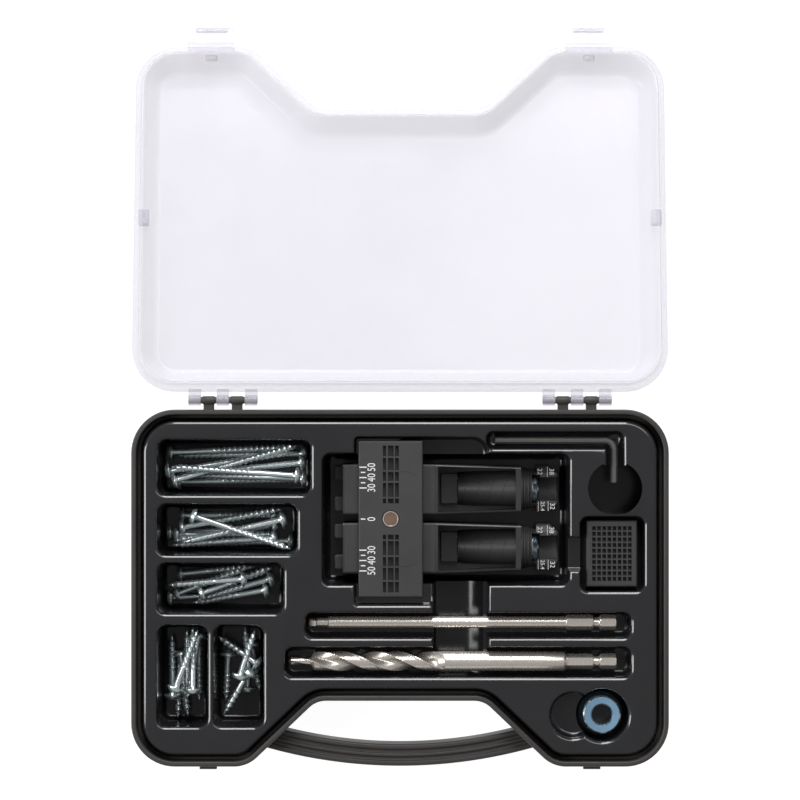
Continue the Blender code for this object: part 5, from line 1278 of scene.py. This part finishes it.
    def sleeve(self, at: GuideLines) -> None:
        """The grey shoe and heel on the block's two ends, and the index lines that read against the scale."""
        plate_low, plate_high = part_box("spacer_plate")
        shoe_right, front, back = plate_low.x - 0.4 * MM, at.middle - at.half, at.middle + at.half
        path = profile([(0, at.bottom + 0.2 * MM, 0), (0, at.top, 1 * MM), (1.2 * MM, at.top + 0.02 * MM, 0)])
        block_right = at.left + self.window_start - 0.8 * MM
        shoe = box_corners(at.left, shoe_right + 2 * MM, front, back, 1 * MM)
        heel = box_corners(plate_high.x - 2 * MM, block_right, front, back, 0.8 * MM)
        for name, corners in (("shoe", shoe), ("heel", heel)):
            rings = carried(corners, path, 6)
            self.finishes.rings(f"guide_{name}_{self.number}", rings, Surface.PLATE, at.body, [at.node])
        front, back = at.middle - 0.12 * MM, at.middle + 0.12 * MM
        lines = [(at.left + 2.2 * MM, shoe_right + 1.5 * MM, front, back),
                 (plate_high.x - 1.5 * MM, plate_high.x + 5 * MM, front, back)]
        self.marking.bars(f"guide_index_{self.number}", lines, at.top + 0.02 * MM, at.body, [at.node], Surface.GUIDE)

    def ribs(self, at: GuideLines) -> None:
        """Plain slanting grip bars on the tube: each lies on the cylinder and turns round it along its length."""
        direction = np.array([math.cos(self.slope), 0, math.sin(self.slope)])
        side, up = np.array([0, 1, 0]), np.array([-math.sin(self.slope), 0, math.cos(self.slope)])
        share = np.linspace(0, 1, 14)
        turn = np.interp(share, [0, 1], [-0.62, 0.62])[:, None]
        section = ((-0.7, 7.9), (-0.45, 8.6), (0.45, 8.6), (0.7, 7.9))
        for number in range(self.grips):
            first = at.start + (13.5 + 6.2 * number) * MM
            axis = at.bottom + self.axis_height - (at.mouth - first) * math.tan(self.slope)
            centre = np.array([first, at.middle, axis]) + (share * 3.2 * MM)[:, None] * direction
            loops = np.stack([centre + direction * away * MM + reach * MM * (np.sin(turn) * side + np.cos(turn) * up)
                              for away, reach in section], 1)
            faces = [face[::-1] for face in ring_faces(loops.shape[0], 4)]
            name = f"tube_grip_{self.number}_{number + 1}"
            self.finishes.add(name, loops.reshape(-1, 3), faces, Surface.GUIDE, at.body, [at.node])

    def bush(self, at: GuideLines) -> None:
        """The hardened bush: a tube on the drilling line, its mouth ring chamfered inside and out."""
        direction = np.array([math.cos(self.slope), 0, math.sin(self.slope)])
        start = np.array([at.mouth, at.middle, at.bottom + self.axis_height]) - direction * 26 * MM
        loop = np.array([(0, 4.85), (0, 6.2), (0.3, 6.4), (25.9, 6.4), (26.2, 6.1), (26.2, 5.5), (25.6, 4.85)]) * MM
        rings, node = lathed(loop, start, direction, 56), f"drill_bush_{self.number}"
        self.finishes.rings(f"bush_tube_{self.number}", rings, Surface.BUSH, at.body, [node], closed=True)
        # A thin disc in the guide's black closes the bore near its far end, so that the bore reads dark: painted shade.
        dark = lathed([(3 * MM, 4.8 * MM), (3.2 * MM, 4.8 * MM)], start, direction, 40)
        self.finishes.rings(f"bush_bore_shade_{self.number}", dark, Surface.GUIDE, at.body, [node])

    def marks(self, at: GuideLines) -> None:
        """The board thicknesses printed on the nose's shoulders, with rules under them."""
        face = at.bottom + self.nose_height + 0.03 * MM
        turn = Matrix.Rotation(-math.pi / 2, 4, "Z")
        rules = []
        for label, words, along, offset, ruled in (
                ("a", "22", 1.9, 8.4, False), ("b", "38", 7.6, 8.4, True), ("c", "25.4", 3.2, -8.4, True),
                ("d", "32", 8.0, -8.4, True)):
            size = 1.9 * MM if "." in words else 2.3 * MM
            place = Matrix.Translation((at.mouth + along * MM, at.middle + offset * MM, face)) @ turn
            self.marking.figures(f"nose_{self.number}_{label}", words, size, place, at.body, [at.node])
            if ruled:
                rules.append((at.mouth + (along - 2.1) * MM, at.mouth + (along - 1.9) * MM,
                              at.middle + (offset - 2.4) * MM, at.middle + (offset + 2.4) * MM))
        self.marking.bars(f"nose_rules_{self.number}", rules, face, at.body, [at.node])

    def stop(self) -> None:
        """The fork that meets the board's edge: two prongs and the bar that joins them, edges eased."""
        low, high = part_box(f"edge_stop_{self.number}")
        body = Body.STOP_1 if self.number == 1 else Body.STOP_2
        prong, bar = self.prong, self.bar
        corners = np.array([
            (low.x, low.y, 1 * MM), (high.x, low.y, 0.6 * MM), (high.x, high.y, 0.6 * MM), (low.x, high.y, 1 * MM),
            (low.x, high.y - prong, 1 * MM), (high.x - bar, high.y - prong, 0.6 * MM),
            (high.x - bar, low.y + prong, 0.6 * MM), (low.x, low.y + prong, 1 * MM),
        ])
        path = profile([(0.3 * MM, low.z, 0), (0, low.z + 0.3 * MM, 0.2 * MM), (0, high.z, 0.5 * MM),
                        (0.6 * MM, high.z, 0)])
        # The fork takes the lighter copy of the grey plastic: painted light for its shaded place low in the tray.
        self.finishes.rings(f"stop_fork_{self.number}", carried(corners, path, 5), Surface.STOP, body,
                            [f"edge_stop_{self.number}"])


@dataclass
class ClampPad:
    """The rubber pad: a bordered face sunk into a lattice of small square cells."""

    finishes: Finishes
    border: float = 2.3 * MM
    rib: float = 0.75 * MM
    cell_depth: float = 2.4 * MM
    grid: float = 0.5 * MM
    field_drop: float = 0.25 * MM
    columns: int = 8
    rows: int = 10

    def build(self) -> None:
        """The face is level on the border and the ribs and drops in each cell, which repeats by its pitch."""
        low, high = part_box("clamp_pad")
        cells_x = self.cells(low.x + self.border, high.x - self.border, self.columns)
        cells_y = self.cells(low.y + self.border, high.y - self.border, self.rows)
        x, y = np.meshgrid(steps_at(low.x, high.x, self.grid, cells_x.ravel()),
                           steps_at(low.y, high.y, self.grid, cells_y.ravel()),
                           indexing="ij")
        in_x = ((x[..., None] > cells_x[:, 0]) & (x[..., None] < cells_x[:, 1])).any(-1)
        in_y = ((y[..., None] > cells_y[:, 0]) & (y[..., None] < cells_y[:, 1])).any(-1)
        inside = (x > cells_x[0, 0]) & (x < cells_x[-1, 1]) & (y > cells_y[0, 0]) & (y < cells_y[-1, 1])
        edge = np.minimum(np.minimum(x - low.x, high.x - x), np.minimum(y - low.y, high.y - y))
        height = high.z - 0.6 * MM * (1 - ramp(edge, 0, 0.7 * MM)) ** 2
        height = np.where(inside, height - self.field_drop, height)
        height = np.where(in_x & in_y, high.z - self.cell_depth, height)
        points, faces = relief(x, y, height, low.z)
        self.finishes.add("pad_face", points, faces, Surface.RUBBER, Body.PAD, ["clamp_pad"], 40)

    def cells(self, low: float, high: float, count: int) -> Array:
        """Each cell's lowest and highest edge, between two borders."""
        pitch = (high - low) / count
        start = low + np.arange(count) * pitch + self.rib / 2
        return np.stack([start, start + pitch - self.rib], 1)


# ---------------------------------------------------------------- the loose tools


@dataclass
class HexShank:
    """The quick-change end that both bits have."""

    across: float = 6.35 * MM
    length: float = 24 * MM
    groove_from_end: float = 10.6 * MM
    groove_length: float = 2.4 * MM
    groove_radius: float = 2.5 * MM

    def radius(self, reach: Array, turn: Array) -> Array:
        """The radius over the shank: a hexagon, held inside a cone at each end and a rounded ring at the groove."""
        hexagon = flats(self.across, 6, turn)
        chamfer = self.across / 2 + 0.05 * MM + np.minimum(reach, self.length - reach) * 0.9
        middle = self.length - self.groove_from_end + self.groove_length / 2
        off = np.abs(reach - middle) - self.groove_length / 2
        ring = self.groove_radius + np.clip(off, 0, None) * 1.3
        return np.minimum(np.minimum(hexagon, chamfer), ring)


@dataclass
class DrillBit:
    """The stepped drill: a pilot and a body with two helical flutes, a plain shank and a hexagon end."""

    finishes: Finishes
    shank: HexShank = field(default_factory=HexShank)
    body_radius: float = 4.75 * MM
    pilot_radius: float = 2 * MM
    pilot_length: float = 11 * MM
    flute_length: float = 74.6 * MM
    turns: float = 1.4
    land: float = 0.4
    margin: float = 0.07
    land_scale: float = 0.955
    flute_share: float = 0.66

    def build(self) -> None:
        """Samples the radius along and round the bit."""
        low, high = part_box("drill_bit")
        length = high.x - low.x
        start = [low.x, (low.y + high.y) / 2, (low.z + high.z) / 2]
        along = np.unique(np.concatenate([
            np.linspace(0, self.pilot_length, 34),
            np.linspace(self.pilot_length + 0.05 * MM, self.flute_length + 4 * MM, 190),
            np.linspace(self.flute_length + 4 * MM, length - self.shank.length - 1.5 * MM, 6),
            np.linspace(length - self.shank.length - 1.5 * MM, length, 64),
        ]))
        rings = turned(along, lambda reach, turn: self.radius(reach, turn, length), start, RIGHTWARDS, 96)
        self.finishes.rings("drill_flutes", rings, Surface.STEEL, Body.DRILL, ["drill_bit"], sharp=26)

    def radius(self, reach: Array, turn: Array, length: float) -> Array:
        """The radius at a distance and angle.

        The helix turns the section by the distance times the pitch. In each half turn the land takes its share, with a
        raised margin at its leading edge, and the flute falls from there as half a sine. Past the flutes the radius is
        plain.
        """
        pitch = self.turns * 2 * np.pi / self.flute_length
        phase = ((turn - reach * pitch) / np.pi) % 1.0
        flute = np.sin(np.pi * np.clip((phase - self.land) / (1 - self.land), 0, 1)) ** 0.75
        runout = 1 - ramp(reach, self.flute_length - 6 * MM, self.flute_length + 1 * MM)
        lands = np.where((phase > self.margin) & (phase < self.land), self.land_scale, 1.0)
        whole = np.where(reach < self.pilot_length, self.pilot_radius, self.body_radius)
        point = 0.15 * MM + reach * 1.45
        step = self.pilot_radius + (reach - self.pilot_length) * 1.6 + 0.3 * MM
        whole = np.where(reach < self.pilot_length, np.minimum(whole, point), np.minimum(whole, step))
        fluted = whole * (1 - (1 - lands) * runout) * (1 - self.flute_share * flute * runout)
        shank_start = length - self.shank.length
        neck = np.minimum(self.body_radius, self.shank.across / 2 + 0.3 * MM + (shank_start - reach))
        return np.where(reach > shank_start, self.shank.radius(reach - shank_start, turn), np.minimum(fluted, neck))


@dataclass
class DriverBit:
    """The long bit: a square tip with eased corners, a neck, a round shaft and a hexagon end."""

    finishes: Finishes
    shank: HexShank = field(default_factory=HexShank)
    shaft: float = 2.8 * MM
    neck: float = 2.1 * MM
    neck_length: float = 9.2 * MM
    tip_length: float = 3.6 * MM
    tip_across: float = 3.1 * MM

    def build(self) -> None:
        """Samples the radius along and round the bit."""
        low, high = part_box("driver_bit")
        length = high.x - low.x
        start = [low.x, (low.y + high.y) / 2, (low.z + high.z) / 2]
        along = np.unique(np.concatenate([
            np.linspace(0, 12 * MM, 60), np.linspace(12 * MM, length - self.shank.length - 2 * MM, 8),
            np.linspace(length - self.shank.length - 2 * MM, length, 72),
        ]))
        rings = turned(along, lambda reach, turn: self.radius(reach, turn, length), start, RIGHTWARDS, 72)
        self.finishes.rings("driver_shaft", rings, Surface.STEEL, Body.DRIVER, ["driver_bit"], sharp=26)

    def radius(self, reach: Array, turn: Array, length: float) -> Array:
        """The least of the square, the neck and the shaft, each of which opens along its own cone."""
        square = flats(self.tip_across, 4, turn + 0.35)
        square = np.minimum(np.minimum(square, self.tip_across * 0.66), self.tip_across * 0.42 + reach * 1.2)
        neck = np.where(reach > self.tip_length,
                        np.minimum(self.neck, self.tip_across * 0.5 + (reach - self.tip_length) * 1.4), 0)
        shaft = np.where(reach > self.neck_length, np.minimum(self.shaft, self.neck + (reach - self.neck_length) * 1.2),
                         0)
        whole = np.where(reach < self.tip_length, square, np.maximum(neck, shaft))
        shank_start = length - self.shank.length
        whole = np.where(reach > shank_start - 1 * MM, np.minimum(whole, self.shaft), whole)
        return np.where(reach > shank_start, self.shank.radius(reach - shank_start, turn), whole)


@dataclass
class HexKey:
    """The bent key: a hexagon carried along a long arm, round a bend and down a short arm."""

    finishes: Finishes
    across: float = 3 * MM
    bend: float = 4.2 * MM
    ease: float = 0.35 * MM
    end_scale: float = 0.8
    edge_share: float = 0.965
    sides: int = 24

    def build(self) -> None:
        """Each ring is the path's point plus the hexagon's radius * (cos a * outward + sin a * up), ends chamfered."""
        low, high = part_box("hex_key")
        corner = self.across / math.sqrt(3)
        y, x, z = high.y - corner, high.x - corner, (low.z + high.z) / 2
        turn = np.linspace(np.pi / 2, 0, 17)
        bend = np.array([x - self.bend, y - self.bend]) + self.bend * np.stack([np.cos(turn), np.sin(turn)], 1)
        ease = self.ease
        path = np.concatenate([[(low.x, y), (low.x + ease, y), (low.x + 2 * MM, y)], bend,
                               [(x, low.y + 2 * MM), (x, low.y + ease), (x, low.y)]])
        outward = np.concatenate([np.tile([0, 1.0], (3, 1)), np.stack([np.cos(turn), np.sin(turn)], 1),
                                  np.tile([1.0, 0], (3, 1))])
        size = np.full(len(path), 1.0)
        size[[0, -1]] = self.end_scale
        angle = np.linspace(0, 2 * np.pi, self.sides, endpoint=False)
        hexagon = np.minimum(flats(self.across, 6, angle), corner * self.edge_share)
        across = size[:, None] * hexagon[None] * np.cos(angle)
        up = size[:, None] * hexagon[None] * np.sin(angle)
        rings = np.stack([path[:, :1] + across * outward[:, :1], path[:, 1:] + across * outward[:, 1:], z + up], -1)
        self.finishes.rings("key_bar", rings, Surface.KEY, Body.KEY, ["hex_key"], sharp=24)


@dataclass
class StopCollar:
    """The depth stop: a ring with bright chamfers and a blue face."""

    finishes: Finishes
    bore: float = 4.9 * MM
    ease: float = 0.55 * MM
    side_edge: float = 1.4 * MM
    sides: int = 96

    def build(self) -> None:
        """Turns the ring's section, with the blue faces as thin bands between the chamfers."""
        low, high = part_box("stop_collar")
        middle = (low + high) / 2
        outer, height, bore, ease = (high.x - low.x) / 2, high.z - low.z, self.bore, self.ease
        start = [middle.x, middle.y, low.z]
        bands = {
            ("collar_ring", Surface.BUSH): [
                (ease, bore), (0, bore + ease), (0, outer - ease), (ease, outer), (height - ease, outer),
                (height - 0.04 * MM, outer - ease), (height - 0.04 * MM, bore + ease),
                (height - ease - 0.2 * MM, bore)],
            ("collar_face", Surface.BLUE): [
                (height - 0.3 * MM, bore + ease + 0.1 * MM), (height - 0.3 * MM, outer - ease - 0.05 * MM),
                (height, outer - ease - 0.1 * MM), (height, bore + ease + 0.15 * MM)],
            ("collar_side", Surface.BLUE): [
                (self.side_edge, outer - 0.2 * MM), (self.side_edge, outer + 0.03 * MM),
                (height - self.side_edge, outer + 0.03 * MM), (height - self.side_edge, outer - 0.2 * MM)],
        }
        for (name, surface), section in bands.items():
            rings = lathed(section, start, UPWARDS, self.sides)
            self.finishes.rings(name, rings, surface, Body.COLLAR, ["stop_collar"], closed=True, sharp=25)


@dataclass
class Screws:
    """Pan-head screws with a washer rim, a square drive, a plain neck and a coarse thread."""

    finishes: Finishes
    head_radius: float = 4.05 * MM
    head_height: float = 2.3 * MM
    drive: float = 2.9 * MM
    drive_depth: float = 1.7 * MM
    neck: float = 1.42 * MM
    crest: float = 1.95 * MM
    pitch: float = 2.65 * MM
    plain_share: float = 0.3
    stations_per_pitch: int = 11
    sides: int = 24

    def build(self) -> None:
        """Makes each screw along the middle line of its own solid."""
        for name, node in frame["nodes"].items():
            if name.startswith("screw_"):
                self.screw(name, node)

    def screw(self, name: str, node: bpy.types.Object) -> None:
        """One screw.

        The middle line is the direction in which the solid's points spread furthest, and the head is at the end whose
        points lie further from it.
        """
        flat = np.empty(len(node.data.vertices) * 3, np.float32)
        node.data.vertices.foreach_get("co", flat)
        points = flat.reshape(-1, 3).astype(float)
        points = np.unique(np.round(points, 6), axis=0)
        centre = points.mean(axis=0)
        axis = np.linalg.svd(points - centre, full_matrices=False)[2][0]
        reach = (points - centre) @ axis
        off = np.linalg.norm(points - centre - reach[:, None] * axis, axis=1)
        near, far = off[reach < np.median(reach)].max(), off[reach > np.median(reach)].max()
        if far > near:
            axis, reach = -axis, -reach
        length = reach.max() - reach.min()
        tail = points[reach > reach.max() - 0.1 * MM].mean(axis=0)
        start = tail - axis * length
        head = self.head_stations()
        body = np.arange(self.head_height, length, self.pitch / self.stations_per_pitch)
        along = np.concatenate([head[:, 0], body[1:], [length]])
        rows = len(head)

        def radius(distance: Array, turn: Array) -> Array:
            """The head's radius on its own stations, and the thread's after them."""
            return np.where(np.arange(len(along))[:, None] < rows, self.head_radius_at(head, len(along), turn),
                            self.thread(distance, turn, length))

        rings = turned(along, radius, start, axis, self.sides)
        self.finishes.rings(name + "_turned", rings, Surface.ZINC, Body.CASE, [name], sharp=38)

    def head_stations(self) -> Array:
        """The head's stations as distance and radius, from the drive's floor out over the dome to the neck."""
        r, h, pole, ease = self.head_radius, self.head_height, 0.1 * MM, 0.15 * MM
        return np.array([
            (self.drive_depth, pole), (self.drive_depth, 0), (0.05 * MM, 0), (0, 2.3 * MM), (0.25 * MM, 2.9 * MM),
            (0.7 * MM, 3.3 * MM), (1.3 * MM, 3.5 * MM), (1.35 * MM, r - ease), (1.55 * MM, r), (h - ease, r),
            (h, r - ease), (h, self.neck + 0.5 * MM),
        ])

    def head_radius_at(self, head: Array, count: int, turn: Array) -> Array:
        """The head's radius for each station: where it is nought it is the square drive's, else the station's own."""
        given = np.zeros(count)
        given[:len(head)] = head[:, 1]
        square = np.minimum(flats(self.drive, 4, turn), self.drive * 0.66)
        return np.where(given[:, None] > 0, given[:, None], square)

    def thread(self, distance: Array, turn: Array, length: float) -> Array:
        """The shank's radius.

        The thread's phase is distance over pitch less the turn, and its crest is a ridge on the middle of the pitch. It
        fades in past the plain neck, and a cone closes the point.
        """
        start = self.head_height + length * self.plain_share
        phase = (distance / self.pitch - turn / (2 * np.pi)) % 1.0
        ridge = np.clip(1 - np.abs(phase - 0.5) / 0.2, 0, 1) ** 0.8
        rise = ramp(distance, start, start + self.pitch)
        core = self.neck - 0.08 * MM * rise
        cone = 0.12 * MM + (length - distance) * 0.3
        core = np.minimum(core, cone)
        crest = np.minimum(self.crest, core + (self.crest - self.neck) * ramp(length - distance, 0, 3 * MM) + 0.05 * MM)
        fillet = 0.5 * MM * (1 - ramp(distance, self.head_height, self.head_height + 1.2 * MM))
        return core + (crest - core) * ridge * rise + fillet


# ---------------------------------------------------------------- the studio


@dataclass
class Studio:
    """The pale floor, the soft lights and the camera that looks straight down."""

    finishes: Finishes
    height: float = 1.71
    half_view: float = 0.1928
    focus_height: float = 0.04
    centre: float = 0.0906
    aim: float = 0.09
    ambient: float = 0.28
    floor_half: float = 6.0
    floor_drop: float = 0.4 * MM
    floor_tints: tuple[float, float] = (0.24, 0.28)
    floor_glow: float = 0.95

    def build(self) -> None:
        """Makes the floor, the lights, the surroundings and the camera."""
        self.floor()
        self.light("back_softbox", (0.0, 1.5, 1.0), (0.6, 1.6), 24)
        self.light("left_softbox", (-1.5, 0.05, 1.0), (0.6, 1.6), 21)
        self.light("right_overhead", (0.45, 0.75, 1.5), (0.75, 0.65), 4.5)
        self.surroundings()
        self.camera()

    def floor(self) -> None:
        """A wide floor just under the case, matt and almost white."""
        half, low = self.floor_half, -self.floor_drop
        corners = [(-half, -half, low), (half, -half, low), (half, half, low), (-half, half, low)]
        mesh = bpy.data.meshes.new("floor")
        mesh.from_pydata(corners, [], [(0, 1, 2, 3)])
        material = bpy.data.materials.new("pale_floor")
        material.use_nodes = True
        tree = material.node_tree
        shader = tree.nodes["Principled BSDF"]
        shader.inputs["Roughness"].default_value = 0.9
        shader.inputs["Specular IOR Level"].default_value = 0.1
        grain = tree.nodes.new("ShaderNodeGroup")
        grain.node_tree = bpy.data.node_groups["surface_grain"]
        grain.inputs["Scale"].default_value = 300
        mix = tree.nodes.new("ShaderNodeMix")
        mix.data_type = "RGBA"
        shader.inputs["Emission Color"].default_value = (1, 1, 1, 1)
        shader.inputs["Emission Strength"].default_value = self.floor_glow
        for socket, tint in zip(("A", "B"), self.floor_tints):
            mix.inputs[socket].default_value = (tint, tint, tint, 1)
        tree.links.new(grain.outputs["Patches"], mix.inputs["Factor"])
        tree.links.new(mix.outputs["Result"], shader.inputs["Base Color"])
        mesh.materials.append(material)
        made = bpy.data.objects.new("floor", mesh)
        bpy.context.scene.collection.objects.link(made)

    def light(self, name: str, place: tuple[float, float, float], size: tuple[float, float], power: float) -> None:
        """One softbox that faces the middle of the open kit."""
        data = bpy.data.lights.new(name, "AREA")
        data.shape = "RECTANGLE"
        data.size, data.size_y = size
        data.energy = power
        made = bpy.data.objects.new(name, data)
        made.location = place
        aim = Vector((0, self.aim, 0)) - Vector(place)
        made.rotation_euler = aim.to_track_quat("-Z", "Y").to_euler()
        bpy.context.scene.collection.objects.link(made)

    def surroundings(self) -> None:
        """Even pale light from all round."""
        world = bpy.data.worlds.new("studio")
        world.use_nodes = True
        background = world.node_tree.nodes["Background"]
        background.inputs["Color"].default_value = (1, 1, 1, 1)
        background.inputs["Strength"].default_value = self.ambient
        bpy.context.scene.world = world

    def camera(self) -> None:
        """The camera over the hinge line, its view just wide enough for the open kit."""
        data = bpy.data.cameras.new("camera")
        data.angle = 2 * math.atan(self.half_view / (self.height - self.focus_height))
        data.clip_start = 0.05
        made = bpy.data.objects.new("camera", data)
        made.location = (0, self.centre, self.height)
        bpy.context.scene.collection.objects.link(made)
        bpy.context.scene.camera = made
        bpy.context.scene.view_settings.view_transform = "Standard"


def dress_hidden_solids(finishes: Finishes) -> None:
    """Gives every solid that still shows the procedural finish of its own slot."""
    by_slot = {surface.value.slot: surface for surface in Surface if surface is not Surface.INK}
    by_slot["steel"] = Surface.STEEL
    for part in frame["record"]["subparts"]:
        node = frame["nodes"][part["node"]]
        surface = by_slot[part["material_slot"]]
        for place in node.material_slots:
            place.material = finishes.made[surface]


def main() -> None:
    """Builds every sub-assembly in order, then the studio."""
    logging.basicConfig(level=logging.INFO, format="%(name)s %(message)s")
    finishes = Finishes()
    dress_hidden_solids(finishes)
    shape = CaseShape()
    marking = Marking(finishes)
    assemblies = [
        Base(shape, finishes), Handle(shape, finishes), Lid(shape, finishes), Tray(shape, finishes),
        SpacerPlate(finishes, marking), DrillGuide(finishes, marking, 1),
        DrillGuide(finishes, marking, 2), ClampPad(finishes),
        DrillBit(finishes), DriverBit(finishes), HexKey(finishes), StopCollar(finishes), Screws(finishes),
        Studio(finishes),
    ]
    for assembly in assemblies:
        assembly.build()
        LOG.info("built %s", type(assembly).__name__)


if __name__ == "__main__":
    main()
